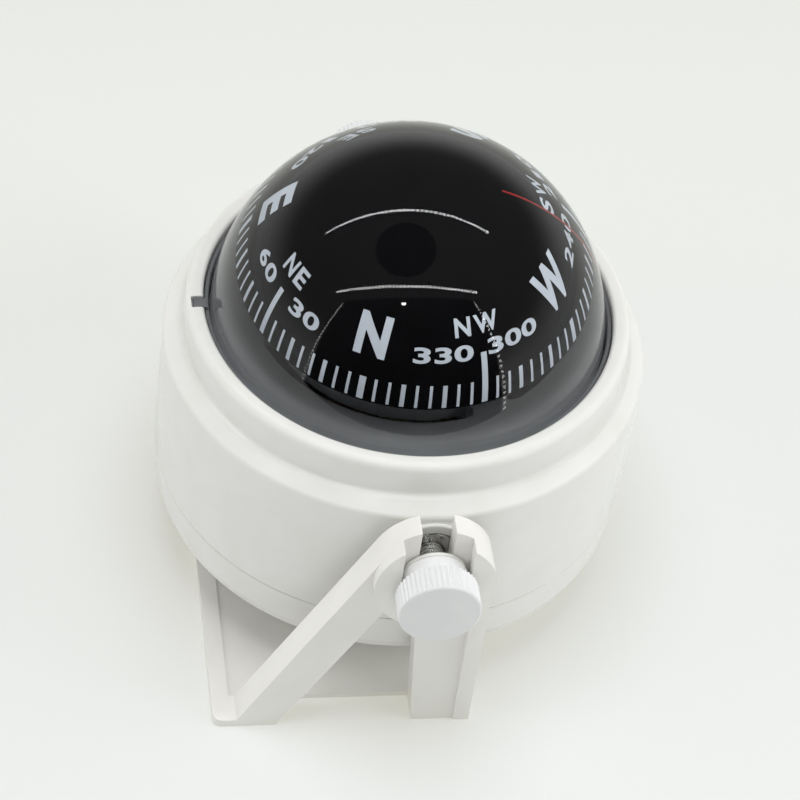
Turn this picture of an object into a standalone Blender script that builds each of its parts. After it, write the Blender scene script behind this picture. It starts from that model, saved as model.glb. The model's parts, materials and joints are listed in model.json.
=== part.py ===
"""Bracket-mounted, liquid-filled dome compass, modelled as separate pieces. Metres, +Z up.

The origin is on the underside of the base plate, straight below the middle of the tilt axis.
The tilt axis runs along Y, the near clamp knob is at -Y, and the lubber line is at +X.
"""

import math

import bmesh
import bpy
from mathutils import Matrix, Vector

MM = 0.001
GAP = 0.3 * MM  # what touching pieces keep between them

# Bracket
TILT_AXIS_Z = 50.7 * MM
PLATE_LEFT = -45.6 * MM
PLATE_RIGHT = 12.4 * MM
PLATE_HALF_Y = 56.9 * MM
PLATE_THICK = 1.5 * MM
RAIL_WIDTH = 4.0 * MM
RAIL_TOP = 2.1 * MM
ARM_INNER_Y = 57.35 * MM
ARM_OUTER_Y = 64.4 * MM
BOSS_OUTER_Y = 66.9 * MM
BOSS_RADIUS = 13.6 * MM
STRUT_TOP_FOOT_X = -41.4 * MM
STRUT_LOW_FOOT_X = -31.2 * MM
STRUT_SLOPE = 1.955  # rise over run of the strut's upper edge
STRUT_BOSS_TURN = 226.5  # where the strut's lower edge meets the boss, degrees from +X towards +Z
LEG_LEFT_FOOT_X = 0.2 * MM
LEG_BOSS_TURN = 260.2  # where the leg's left edge meets the boss
LEG_FLANGE_X = 9.9 * MM
LEG_RECESS_LEFT = -3.2 * MM
LEG_RECESS_TOP_Z = 35.1 * MM
LEG_RECESS_FOOT = 0.4 * MM  # how deep the leg's web lies behind its flange at the foot
LEG_RECESS_TOP = 2.6 * MM  # and at the top
SLOT_WIDTH = 7.6 * MM
COUNTERBORE_WIDTH = 15.6 * MM
COUNTERBORE_FLOOR_Y = 62.7 * MM
BASE_HOLE_RADIUS = 2.3 * MM
BASE_HOLES = [(-36.0, 14.0), (-36.0, -14.0), (4.0, 14.0), (4.0, -14.0)]

# Housing, from the lip down to the bottom cover
LIP_BORE_RADIUS = 47.0 * MM
LIP_RADIUS = 51.0 * MM
LIP_TOP_Z = 72.0 * MM
LIP_UNDER_Z = 67.2 * MM
SHOULDER_TOP_Z = 63.9 * MM
SHOULDER_FOOT_Z = 60.9 * MM
WALL_RADIUS = 55.6 * MM
WALL_THICK = 2.6 * MM
CAPSULE_BORE_RADIUS = 49.4 * MM
LEDGE_Z = 58.5 * MM
SEAM_Z = 25.8 * MM
POST_RADIUS = 3.6 * MM
POST_TOP_Z = 39.0 * MM
COVER_BOSS_RADIUS = 4.6 * MM
COVER_BOSS_FOOT_Z = 13.2 * MM
SCREW_HOLE_RADIUS = 1.7 * MM
SCREW_SEAT_Z = 15.4 * MM  # top of the counterbores in the bottom cover
SCREW_SEAT_RADIUS = 3.2 * MM
SPINDLE_HOLE_RADIUS = 2.3 * MM
CORNER_RADIUS = 54.0 * MM  # the cover's lower corner, where its wall turns in
CORNER_Z = 14.4 * MM
BOTTOM_RADIUS = 30.0 * MM  # the cover's flat bottom, below the sloped part
BOTTOM_Z = 9.6 * MM
POST_RING_RADIUS = 43.0 * MM
PAD_Y = 55.8 * MM
PAD_RADIUS = 9.4 * MM
INSERT_BOSS_RADIUS = 6.2 * MM
INSERT_BOSS_Y = 47.6 * MM
LUG_Y = 1.0 * MM
LUG_WIDTH = 2.8 * MM

# Capsule
DOME_Z = 66.46 * MM  # centre of the dome's sphere, and of the gimbal
DOME_RADIUS = 45.4 * MM
DOME_THICK = 2.5 * MM
DOME_FLANGE_RADIUS = 49.0 * MM
DOME_FLANGE_TOP_Z = 66.9 * MM
DOME_FOOT_Z = 64.6 * MM
PLATFORM_TOP_Z = 66.2 * MM
PLATFORM_FOOT_Z = 63.0 * MM
BOWL_TOP_Z = 62.7 * MM
BOWL_FLANGE_FOOT_Z = 60.4 * MM
RETAINER_SCREW_RING = 51.1 * MM
RETAINER_SCREW_HOLE = 1.2 * MM
ARC_SLOT_INNER = 22.0 * MM
ARC_SLOT_OUTER = 26.9 * MM
ARC_SLOT_HALF_TURN = 47.0  # degrees
FILLER_Z = 43.0 * MM
DIAPHRAGM_RADIUS = 18.0 * MM
DIAPHRAGM_CLAMP_RADIUS = 23.5 * MM
DIAPHRAGM_Z = 33.0 * MM
DIAPHRAGM_THICK = 1.2 * MM

# Compensators
SPINDLE_RING = 22.0 * MM
SPINDLE_RADIUS = 2.0 * MM
SPINDLE_TABLE_RADIUS = 5.0 * MM
SPINDLE_TOP_Z = 17.4 * MM
COMPENSATOR_MAGNET = (14.0 * MM, 3.2 * MM, 2.9 * MM)  # length, width, height

# Card, pivot and gimbal
CARD_RADIUS = 33.0 * MM
CARD_CENTRE_Z = DOME_Z + 7.5 * MM
CARD_THICK = 1.0 * MM
NORTH_AZIMUTH = math.radians(-25.5)  # from -Y towards +X
PIVOT_TIP_Z = 88.0 * MM
GIMBAL_RING_OUTER = 13.5 * MM
GIMBAL_RING_INNER = 11.0 * MM
GIMBAL_PIN_RADIUS = 0.9 * MM
CRADLE_STEM_RADIUS = 2.5 * MM
COUNTERWEIGHT_TOP_Z = 58.0 * MM
COUNTERWEIGHT_FOOT_Z = 43.0 * MM
POST_STEM_RADIUS = 1.2 * MM
FLOAT_TOP_Z = 96.8 * MM
FLOAT_FOOT_Z = 84.3 * MM
JEWEL_RADIUS = 2.5 * MM
CARD_MAGNET = (3.0 * MM, 26.0 * MM, 3.0 * MM)  # width, length, height
CARD_MAGNET_X = 7.0 * MM

# Clamp knobs, with an M6 thread. Distances along Y are from the middle of the compass
STUD_RADIUS = 2.95 * MM
STUD_TIP_Y = 50.0 * MM
STUD_HEAD_Y = 72.65 * MM
INSERT_BORE_RADIUS = 3.3 * MM
INSERT_BARREL_RADIUS = 4.6 * MM
INSERT_FLANGE_RADIUS = 6.2 * MM
INSERT_TIP_Y = 48.2 * MM
INSERT_FLANGE_Y = 56.1 * MM
INSERT_FACE_Y = 57.0 * MM
WASHER_BORE_RADIUS = 6.6 * MM
WASHER_RADIUS = 9.1 * MM
WASHER_FACE_Y = 57.05 * MM
COLLAR_RADIUS = 7.5 * MM
KNOB_RADIUS = 9.26 * MM
KNOB_BACK_Y = 68.05 * MM
KNOB_FACE_Y = 74.85 * MM
KNURLS = 20

ROUND = 32  # steps in a large turned piece
SMALL = 12  # steps in a small one


def clear_scene():
    """Empty the file of objects, so that the model always starts from nothing."""
    for old in list(bpy.data.objects):
        bpy.data.objects.remove(old)


def collection(name):
    """A new collection in the scene."""
    made = bpy.data.collections.new(name)
    bpy.context.scene.collection.children.link(made)
    return made


def material(name, colour, roughness, metallic=0.0, transmission=0.0):
    """A Principled material."""
    made = bpy.data.materials.new(name)
    made.use_nodes = True
    shader = made.node_tree.nodes["Principled BSDF"]
    shader.inputs["Base Color"].default_value = (*colour, 1.0)
    shader.inputs["Roughness"].default_value = roughness
    shader.inputs["Metallic"].default_value = metallic
    shader.inputs["Transmission Weight"].default_value = transmission
    return made


clear_scene()
PARTS = collection("dome_compass")
CUTTERS = collection("cutters")

WHITE = material("white_plastic", (0.86, 0.86, 0.84), 0.28)
GREY = material("grey_plastic", (0.24, 0.25, 0.26), 0.45)
BLACK = material("black_plastic", (0.02, 0.02, 0.02), 0.4)
DIAL = material("dial_black", (0.012, 0.012, 0.013), 0.55)
CLEAR = material("clear_dome", (0.98, 0.98, 0.98), 0.03, transmission=1.0)
RUBBER = material("rubber", (0.025, 0.025, 0.025), 0.8)
STEEL = material("steel", (0.62, 0.62, 0.62), 0.25, metallic=1.0)
BRASS = material("brass", (0.72, 0.52, 0.24), 0.3, metallic=1.0)
MAGNET = material("magnet", (0.18, 0.18, 0.19), 0.5, metallic=0.6)
RED = material("red_line", (0.7, 0.02, 0.03), 0.5)
NYLON = material("white_nylon", (0.82, 0.82, 0.8), 0.4)
FOAM = material("float_foam", (0.75, 0.72, 0.62), 0.9)


def link(name, mesh, paint=None, into=None):
    """A new object for a mesh, in the parts collection unless another is given."""
    made = bpy.data.objects.new(name, mesh)
    (into or PARTS).objects.link(made)
    if paint:
        mesh.materials.append(paint)
    return made


def as_cutter(thing):
    """Mark an object as a guide that isn't part of the model."""
    thing.hide_render = True
    thing.display_type = "WIRE"
    return thing


def arc(centre_r, centre_z, radius, start, stop, count):
    """Points on an arc of a profile, angles in degrees from +R towards +Z."""
    points = []
    for i in range(count + 1):
        turn = math.radians(start + (stop - start) * i / count)
        points.append((centre_r + radius * math.cos(turn), centre_z + radius * math.sin(turn)))
    return points


def turned(name, profile, paint=None, steps=ROUND, closed=True, into=None):
    """A solid of revolution about Z. The profile runs down its outer side, then up its inner side."""
    mesh = bpy.data.meshes.new(name)
    vertices = [(r, 0.0, z) for r, z in profile]
    edges = [(i, i + 1) for i in range(len(profile) - 1)]
    if closed:
        edges.append((len(profile) - 1, 0))
    mesh.from_pydata(vertices, edges, [])
    made = link(name, mesh, paint, into)
    screw = made.modifiers.new("turn", "SCREW")
    screw.steps = steps
    screw.render_steps = steps
    screw.use_merge_vertices = True
    screw.merge_threshold = 0.00001
    screw.use_smooth_shade = False
    return made


def box(name, low, high, paint=None, into=None):
    """A block between two corners."""
    mesh = bpy.data.meshes.new(name)
    shape = bmesh.new()
    bmesh.ops.create_cube(shape, size=1.0)
    size = Vector(high) - Vector(low)
    middle = (Vector(high) + Vector(low)) / 2
    bmesh.ops.scale(shape, vec=size, verts=shape.verts)
    bmesh.ops.translate(shape, vec=middle, verts=shape.verts)
    shape.to_mesh(mesh)
    shape.free()
    return link(name, mesh, paint, into)


def rod(name, start, end, radius, paint=None, steps=SMALL, into=None):
    """A cylinder between two points."""
    return rods(name, [(start, end, radius)], paint, steps, into)


def add_rod(shape, start, end, radius, steps):
    """Add a closed cylinder between two points to a bmesh."""
    start = Vector(start)
    end = Vector(end)
    way = end - start
    place = Matrix.Translation((start + end) / 2) @ way.to_track_quat("Z", "Y").to_matrix().to_4x4()
    bmesh.ops.create_cone(
        shape,
        cap_ends=True,
        segments=steps,
        radius1=radius,
        radius2=radius,
        depth=way.length,
        matrix=place,
    )


def outline(name, points, depth, paint=None, into=None):
    """A flat plate from a 2D outline, centred on its own XY plane, as a closed mesh."""
    curve = bpy.data.curves.new(name + "_outline", "CURVE")
    curve.dimensions = "2D"
    curve.fill_mode = "BOTH"
    curve.extrude = depth / 2
    line = curve.splines.new("POLY")
    line.points.add(len(points) - 1)
    for point, (x, y) in zip(line.points, points):
        point.co = (x, y, 0.0, 1.0)
    line.use_cyclic_u = True
    guide = bpy.data.objects.new(name + "_outline", curve)
    CUTTERS.objects.link(guide)
    depsgraph = bpy.context.evaluated_depsgraph_get()
    mesh = bpy.data.meshes.new_from_object(guide.evaluated_get(depsgraph))
    shape = bmesh.new()
    shape.from_mesh(mesh)
    bmesh.ops.remove_doubles(shape, verts=shape.verts, dist=0.00001)
    shape.to_mesh(mesh)
    shape.free()
    bpy.data.objects.remove(guide)
    return link(name, mesh, paint, into)


def combine(thing, other, operation):
    """Cut another object from a piece, or join it to the piece."""
    step = thing.modifiers.new(operation.lower() + "_" + other.name, "BOOLEAN")
    step.operation = operation
    step.object = other
    step.solver = "EXACT"
    return thing


def cut(thing, cutter):
    """Cut a guide's shape from a piece."""
    return combine(thing, as_cutter(cutter), "DIFFERENCE")


def join(thing, other):
    """Join a guide's shape to a piece."""
    return combine(thing, as_cutter(other), "UNION")


def around(count, radius, start=0.0):
    """Evenly spaced points on a circle in plan."""
    places = []
    for i in range(count):
        turn = start + 2 * math.pi * i / count
        places.append((radius * math.cos(turn), radius * math.sin(turn)))
    return places


def rods(name, spans, paint=None, steps=SMALL, into=None):
    """Several separate cylinders in one object. A span is start, end and radius."""
    mesh = bpy.data.meshes.new(name)
    shape = bmesh.new()
    for start, end, radius in spans:
        add_rod(shape, start, end, radius, steps)
    shape.to_mesh(mesh)
    shape.free()
    return link(name, mesh, paint, into)


def empty(name, place):
    """An empty that marks a joint's axis."""
    made = bpy.data.objects.new(name, None)
    made.empty_display_size = 10 * MM
    PARTS.objects.link(made)
    made.location = place
    return made


def carry(parent, *things):
    """Parent objects to an empty, and leave them where they are."""
    for thing in things:
        thing.parent = parent
        thing.matrix_parent_inverse = Matrix.Translation(-parent.location)


# Bracket


def arm_outline():
    """The A-shaped arm, seen along +Y: strut, boss and leg in one outline, x and z."""
    strut_start = STRUT_TOP_FOOT_X + RAIL_TOP / STRUT_SLOPE
    points = [(PLATE_LEFT, 0.0), (PLATE_LEFT, RAIL_TOP), (strut_start, RAIL_TOP)]
    strut_turn = 90.0 + math.degrees(math.atan(STRUT_SLOPE))
    points += arc(0.0, TILT_AXIS_Z, BOSS_RADIUS, strut_turn, 0.0, 10)
    points += [(PLATE_RIGHT, 0.0), (LEG_LEFT_FOOT_X, 0.0)]
    points += arc(0.0, TILT_AXIS_Z, BOSS_RADIUS, LEG_BOSS_TURN, STRUT_BOSS_TURN, 4)
    points += [(STRUT_LOW_FOOT_X, 0.0)]
    return points


def leg_recess():
    """A cutter for the leg's outer face, which leaves a sloped web and a flange at its right."""
    points = [
        (-ARM_OUTER_Y - MM, -MM),
        (-ARM_OUTER_Y - MM, LEG_RECESS_TOP_Z),
        (-ARM_OUTER_Y + LEG_RECESS_TOP, LEG_RECESS_TOP_Z),
        (-ARM_OUTER_Y + LEG_RECESS_FOOT, -MM),
    ]
    made = outline("leg_recess", points, LEG_FLANGE_X - LEG_RECESS_LEFT, into=CUTTERS)
    made.rotation_euler = (math.pi / 2, 0.0, math.pi / 2)
    made.location = ((LEG_FLANGE_X + LEG_RECESS_LEFT) / 2, 0.0, 0.0)
    return made


def bracket():
    """Base plate and the two slotted arms that hold the housing, one moulding."""
    corner = (PLATE_LEFT, -PLATE_HALF_Y, 0.0)
    body = box("bracket", corner, (PLATE_RIGHT, PLATE_HALF_Y, PLATE_THICK), WHITE)
    overlap = 2 * MM
    rail = box(
        "rail",
        (PLATE_LEFT, -ARM_OUTER_Y + overlap, 0.0),
        (PLATE_LEFT + RAIL_WIDTH, ARM_OUTER_Y - overlap, RAIL_TOP),
        into=CUTTERS,
    )
    join(body, rail)
    for name, left, right in (
        ("strut_foot", PLATE_LEFT, STRUT_LOW_FOOT_X),
        ("leg_foot", LEG_LEFT_FOOT_X, PLATE_RIGHT),
    ):
        foot = box(
            name,
            (left, -ARM_INNER_Y - overlap, 0.0),
            (right, -PLATE_HALF_Y + overlap, PLATE_THICK),
            into=CUTTERS,
        )
        join(body, foot)
    arm = outline("arm", arm_outline(), ARM_OUTER_Y - ARM_INNER_Y, into=CUTTERS)
    arm.rotation_euler = (math.pi / 2, 0.0, 0.0)
    arm.location = (0.0, -(ARM_OUTER_Y + ARM_INNER_Y) / 2, 0.0)
    join(body, arm)
    boss = rod(
        "boss",
        (0.0, -BOSS_OUTER_Y, TILT_AXIS_Z),
        (0.0, -ARM_INNER_Y, TILT_AXIS_Z),
        BOSS_RADIUS - 0.02 * MM,
        steps=24,
        into=CUTTERS,
    )
    join(body, boss)
    cut(body, slot("slot", SLOT_WIDTH, ARM_INNER_Y - overlap, BOSS_OUTER_Y + overlap))
    cut(body, slot("counterbore", COUNTERBORE_WIDTH, COUNTERBORE_FLOOR_Y, BOSS_OUTER_Y + overlap))
    cut(body, leg_recess())
    holes = rods(
        "base_holes",
        [((x * MM, y * MM, -MM), (x * MM, y * MM, 5 * MM), BASE_HOLE_RADIUS) for x, y in BASE_HOLES],
        steps=16,
        into=CUTTERS,
    )
    cut(body, holes)
    mirror = body.modifiers.new("far_side", "MIRROR")
    mirror.use_axis = (False, True, False)
    mirror.use_bisect_axis = (False, True, False)
    mirror.use_bisect_flip_axis = (False, True, False)
    mirror.merge_threshold = 0.01 * MM
    return body


def slot(name, width, inner_y, outer_y):
    """A cutter for an upright slot that is open at the top, round at the tilt axis."""
    radius = width / 2
    top = TILT_AXIS_Z + 2 * BOSS_RADIUS
    points = [(radius, top), (-radius, top)]
    points += arc(0.0, TILT_AXIS_Z, radius, 180.0, 360.0, 8)
    made = outline(name, points, outer_y - inner_y, into=CUTTERS)
    made.rotation_euler = (math.pi / 2, 0.0, 0.0)
    made.location = (0.0, -(outer_y + inner_y) / 2, 0.0)
    return made


# Housing


def housing_profile():
    """The upper housing's section: lip, shoulder, wall and the bore that holds the capsule."""
    outer = [(LIP_BORE_RADIUS, LIP_TOP_Z - 0.4 * MM), (LIP_BORE_RADIUS + 0.4 * MM, LIP_TOP_Z)]
    outer += arc(LIP_RADIUS - 1.6 * MM, LIP_TOP_Z - 1.6 * MM, 1.6 * MM, 90.0, 0.0, 4)
    outer += [(LIP_RADIUS, SHOULDER_TOP_Z + 0.5 * MM), (LIP_RADIUS + 0.5 * MM, SHOULDER_TOP_Z)]
    outer += [(WALL_RADIUS - 0.6 * MM, SHOULDER_FOOT_Z + 0.4 * MM)]
    outer += [(WALL_RADIUS, SHOULDER_FOOT_Z - 0.5 * MM), (WALL_RADIUS, SEAM_Z + GAP / 2)]
    inner_wall = WALL_RADIUS - WALL_THICK
    inner = [(inner_wall, SEAM_Z + GAP / 2), (inner_wall, LEDGE_Z)]
    inner += [(CAPSULE_BORE_RADIUS, LEDGE_Z), (CAPSULE_BORE_RADIUS, LIP_UNDER_Z)]
    inner += [(LIP_BORE_RADIUS, LIP_UNDER_Z)]
    return outer + inner


def upper_housing():
    """White shell with the lip, the wall, four screw posts and the two pivot bosses."""
    shell = turned("upper_housing", housing_profile(), WHITE, steps=40)
    for i, (x, y) in enumerate(around(4, POST_RING_RADIUS, math.pi / 4)):
        post_foot = (x, y, SEAM_Z + GAP / 2)
        post = rod(f"post_{i}", post_foot, (x, y, POST_TOP_Z), POST_RADIUS, steps=SMALL, into=CUTTERS)
        rib = box(
            f"post_rib_{i}",
            (POST_RING_RADIUS, -1.0 * MM, SEAM_Z + 2 * MM),
            (WALL_RADIUS - 1.5 * MM, 1.0 * MM, POST_TOP_Z - MM),
            into=CUTTERS,
        )
        rib.rotation_euler = (0.0, 0.0, math.atan2(y, x))
        join(shell, post)
        join(shell, rib)
    for side in (-1, 1):
        pad = rod(
            f"pad_{side}",
            (0.0, side * 53.5 * MM, TILT_AXIS_Z),
            (0.0, side * PAD_Y, TILT_AXIS_Z),
            PAD_RADIUS,
            steps=24,
            into=CUTTERS,
        )
        boss = rod(
            f"insert_boss_{side}",
            (0.0, side * INSERT_BOSS_Y, TILT_AXIS_Z),
            (0.0, side * 54.5 * MM, TILT_AXIS_Z),
            INSERT_BOSS_RADIUS,
            into=CUTTERS,
        )
        join(shell, pad)
        join(shell, boss)
    bores = rods(
        "insert_bores",
        [
            (
                (0.0, side * (INSERT_BOSS_Y - 8 * MM), TILT_AXIS_Z),
                (0.0, side * (PAD_Y + 4 * MM), TILT_AXIS_Z),
                INSERT_BARREL_RADIUS + GAP,
            )
            for side in (-1, 1)
        ],
        into=CUTTERS,
    )
    cut(shell, bores)
    threads = [
        ((x, y, SEAM_Z - MM), (x, y, POST_TOP_Z - 3 * MM), SCREW_HOLE_RADIUS)
        for x, y in around(4, POST_RING_RADIUS, math.pi / 4)
    ]
    threads += [
        ((x, y, LEDGE_Z - MM), (x, y, LEDGE_Z + 3.1 * MM), RETAINER_SCREW_HOLE)
        for x, y in around(4, RETAINER_SCREW_RING, math.pi / 4)
    ]
    cut(shell, rods("housing_threads", threads, into=CUTTERS))
    notch = box(
        "lug_notch",
        (-LIP_RADIUS + 1.2 * MM, LUG_Y - LUG_WIDTH / 2 - GAP, 70.0 * MM),
        (-40 * MM, LUG_Y + LUG_WIDTH / 2 + GAP, 80 * MM),
        into=CUTTERS,
    )
    cut(shell, notch)
    return shell


def lower_housing():
    """White bottom cover, a shallow bowl with four screw bosses."""
    top = SEAM_Z - GAP / 2
    wall = WALL_RADIUS - 0.2 * MM
    outer = [(wall, top), (CORNER_RADIUS + 0.8 * MM, CORNER_Z + 2.6 * MM)]
    outer += [(CORNER_RADIUS, CORNER_Z), (CORNER_RADIUS - 1.8 * MM, CORNER_Z - 1.7 * MM)]
    outer += [(BOTTOM_RADIUS, BOTTOM_Z), (0.0, BOTTOM_Z)]
    inner = [(0.0, BOTTOM_Z + WALL_THICK), (BOTTOM_RADIUS - 0.5 * MM, BOTTOM_Z + WALL_THICK)]
    inner += [(CORNER_RADIUS - 3.6 * MM, CORNER_Z + MM), (CORNER_RADIUS - 1.8 * MM, CORNER_Z + 3 * MM)]
    inner += [(wall - WALL_THICK, top)]
    shell = turned("lower_housing", outer + inner, WHITE, steps=40)
    ring = around(4, POST_RING_RADIUS, math.pi / 4)
    for i, (x, y) in enumerate(ring):
        boss_foot = (x, y, COVER_BOSS_FOOT_Z)
        join(shell, rod(f"cover_boss_{i}", boss_foot, (x, y, top), COVER_BOSS_RADIUS, into=CUTTERS))
    below = BOTTOM_Z - 4 * MM
    holes = [((x, y, below), (x, y, top + 4 * MM), SCREW_HOLE_RADIUS) for x, y in ring]
    cut(shell, rods("cover_holes", holes, steps=16, into=CUTTERS))
    heads = [((x, y, below), (x, y, SCREW_SEAT_Z), SCREW_SEAT_RADIUS) for x, y in ring]
    cut(shell, rods("cover_counterbores", heads, steps=16, into=CUTTERS))
    spindles = [((x, y, below), (x, y, SCREW_SEAT_Z), SPINDLE_HOLE_RADIUS) for x, y in spindle_places()]
    cut(shell, rods("spindle_holes", spindles, steps=16, into=CUTTERS))
    return shell


def screw(name, place, head, shank_end, head_radius, shank_radius):
    """A screw that stands along Z, head down."""
    low, high = head
    profile = [(0.0, shank_end), (shank_radius, shank_end), (shank_radius, high)]
    profile += [(head_radius, high), (head_radius, low), (0.0, low)]
    made = turned(name, profile, STEEL, steps=12, closed=False)
    made.location = (*place, 0.0)
    return made


def pivot_insert(name, side):
    """Threaded metal insert with a flange, which the clamp stud screws into."""
    profile = [
        (INSERT_BORE_RADIUS, INSERT_FACE_Y),
        (INSERT_FLANGE_RADIUS, INSERT_FACE_Y),
        (INSERT_FLANGE_RADIUS, INSERT_FLANGE_Y),
        (INSERT_BARREL_RADIUS, INSERT_FLANGE_Y),
        (INSERT_BARREL_RADIUS, INSERT_TIP_Y),
        (INSERT_BORE_RADIUS, INSERT_TIP_Y),
    ]
    return on_tilt_axis(turned(name, profile, STEEL, steps=SMALL), side)


def friction_washer(name, side):
    """Nylon washer between the housing's pad and the bracket's arm."""
    profile = [
        (WASHER_BORE_RADIUS, WASHER_FACE_Y),
        (WASHER_RADIUS, WASHER_FACE_Y),
        (WASHER_RADIUS, PAD_Y + GAP),
        (WASHER_BORE_RADIUS, PAD_Y + GAP),
    ]
    return on_tilt_axis(turned(name, profile, NYLON, steps=24), side)


def on_tilt_axis(thing, side):
    """Turn a piece made along Z so that its top points out along the tilt axis."""
    thing.rotation_euler = (-side * math.pi / 2, 0.0, 0.0)
    thing.location = (0.0, 0.0, TILT_AXIS_Z)
    return thing


# Capsule


def dome():
    """Clear dome with a flange round its foot."""
    inner_radius = DOME_RADIUS - DOME_THICK
    start = math.degrees(math.asin((DOME_FLANGE_TOP_Z - DOME_Z) / DOME_RADIUS))
    profile = [(0.0, DOME_Z + DOME_RADIUS)] + arc(0.0, DOME_Z, DOME_RADIUS, 90.0, start, 9)[1:]
    profile += [(DOME_FLANGE_RADIUS, DOME_FLANGE_TOP_Z), (DOME_FLANGE_RADIUS, DOME_FOOT_Z)]
    profile += [(inner_radius, DOME_FOOT_Z)] + arc(0.0, DOME_Z, inner_radius, 0.0, 90.0, 8)[:-1]
    profile += [(0.0, DOME_Z + inner_radius)]
    return turned("dome", profile, CLEAR, closed=False)


def dome_clamp_ring():
    """Grey ring that holds the dome's flange down, with a lug that keys it to the lip."""
    profile = [
        (45.75 * MM, 70.6 * MM),
        (46.7 * MM, 70.6 * MM),
        (46.7 * MM, DOME_FLANGE_TOP_Z + GAP),
        (45.75 * MM, DOME_FLANGE_TOP_Z + GAP),
    ]
    ring = turned("dome_clamp_ring", profile, GREY)
    lug = box(
        "lug",
        (-49.3 * MM, LUG_Y - LUG_WIDTH / 2, 70.3 * MM),
        (-46.2 * MM, LUG_Y + LUG_WIDTH / 2, 71.6 * MM),
        into=CUTTERS,
    )
    root = box(
        "lug_root",
        (-46.6 * MM, LUG_Y - LUG_WIDTH / 2, 69.0 * MM),
        (-46.0 * MM, LUG_Y + LUG_WIDTH / 2, 71.0 * MM),
        into=CUTTERS,
    )
    join(ring, lug)
    join(ring, root)
    return ring


def dome_gasket():
    """Rubber ring that seals the dome to the capsule's bowl."""
    profile = [
        (45.3 * MM, DOME_FOOT_Z - GAP),
        (49.0 * MM, DOME_FOOT_Z - GAP),
        (49.0 * MM, BOWL_TOP_Z + GAP),
        (45.3 * MM, BOWL_TOP_Z + GAP),
    ]
    return turned("dome_gasket", profile, RUBBER)


def capsule_bowl():
    """Black lower half of the capsule, with a filling neck at the back and an open foot."""
    outer = [(44.2 * MM, BOWL_TOP_Z), (49.0 * MM, BOWL_TOP_Z), (49.0 * MM, BOWL_FLANGE_FOOT_Z)]
    outer += [(46.4 * MM, BOWL_FLANGE_FOOT_Z), (44.4 * MM, 48.5 * MM), (41.5 * MM, 42.5 * MM)]
    outer += [(35.0 * MM, 36.8 * MM), (24.0 * MM, DIAPHRAGM_Z), (DIAPHRAGM_RADIUS, DIAPHRAGM_Z)]
    inner = [(DIAPHRAGM_RADIUS, 35.0 * MM), (23.6 * MM, 35.0 * MM), (33.8 * MM, 38.6 * MM)]
    inner += [(39.6 * MM, 43.8 * MM), (42.4 * MM, 49.2 * MM)]
    bowl = turned("capsule_bowl", outer + inner, BLACK)
    neck = rod("filler_neck", (0, 40.0 * MM, FILLER_Z), (0, 45.6 * MM, FILLER_Z), 4 * MM, into=CUTTERS)
    join(bowl, neck)
    bore = rod("filler_bore", (0, 36.0 * MM, FILLER_Z), (0, 50.0 * MM, FILLER_Z), 2.5 * MM, into=CUTTERS)
    cut(bowl, bore)
    return bowl


def fill_plug():
    """Brass screw plug in the capsule's filling neck."""
    profile = [(0.0, 47.4 * MM), (3.6 * MM, 47.4 * MM), (3.6 * MM, 45.9 * MM)]
    profile += [(2.2 * MM, 45.9 * MM), (2.2 * MM, 41.5 * MM), (0.0, 41.5 * MM)]
    plug = turned("fill_plug", profile, BRASS, steps=SMALL, closed=False)
    plug.rotation_euler = (-math.pi / 2, 0.0, 0.0)
    plug.location = (0.0, 0.0, FILLER_Z)
    return plug


def diaphragm():
    """Rubber diaphragm that lets the liquid expand, with one rolled fold."""
    top = DIAPHRAGM_Z - GAP
    foot = top - DIAPHRAGM_THICK
    fold = 1.2 * MM
    outer = [(0.0, top - MM), (9.0 * MM, top - MM), (11.0 * MM, top + fold), (14.0 * MM, top + fold)]
    outer += [(15.5 * MM, top), (DIAPHRAGM_CLAMP_RADIUS, top)]
    inner = [(DIAPHRAGM_CLAMP_RADIUS, foot), (15.0 * MM, foot), (13.4 * MM, top)]
    inner += [(11.6 * MM, top), (9.6 * MM, foot - MM), (0.0, foot - MM)]
    return turned("diaphragm", outer + inner, RUBBER, steps=24, closed=False)


def diaphragm_ring():
    """Ring that clamps the diaphragm to the bowl's foot."""
    top = DIAPHRAGM_Z - DIAPHRAGM_THICK - 2 * GAP
    foot = top - 1.8 * MM
    inner = 16.5 * MM
    profile = [(inner, top), (DIAPHRAGM_CLAMP_RADIUS, top), (DIAPHRAGM_CLAMP_RADIUS, foot), (inner, foot)]
    return turned("diaphragm_ring", profile, BLACK, steps=40)


def capsule_retainer():
    """Ring under the capsule's flange that presses the whole capsule up against the lip."""
    profile = [
        (46.95 * MM, BOWL_FLANGE_FOOT_Z - GAP),
        (49.1 * MM, BOWL_FLANGE_FOOT_Z - GAP),
        (49.1 * MM, LEDGE_Z - GAP),
        (52.6 * MM, LEDGE_Z - GAP),
        (52.6 * MM, 57.2 * MM),
        (46.95 * MM, 57.2 * MM),
    ]
    ring = turned("capsule_retainer", profile, BLACK)
    holes = [
        ((x, y, LEDGE_Z - 4 * MM), (x, y, LEDGE_Z + 2 * MM), RETAINER_SCREW_HOLE)
        for x, y in around(4, RETAINER_SCREW_RING, math.pi / 4)
    ]
    cut(ring, rods("retainer_holes", holes, into=CUTTERS))
    return ring


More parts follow.
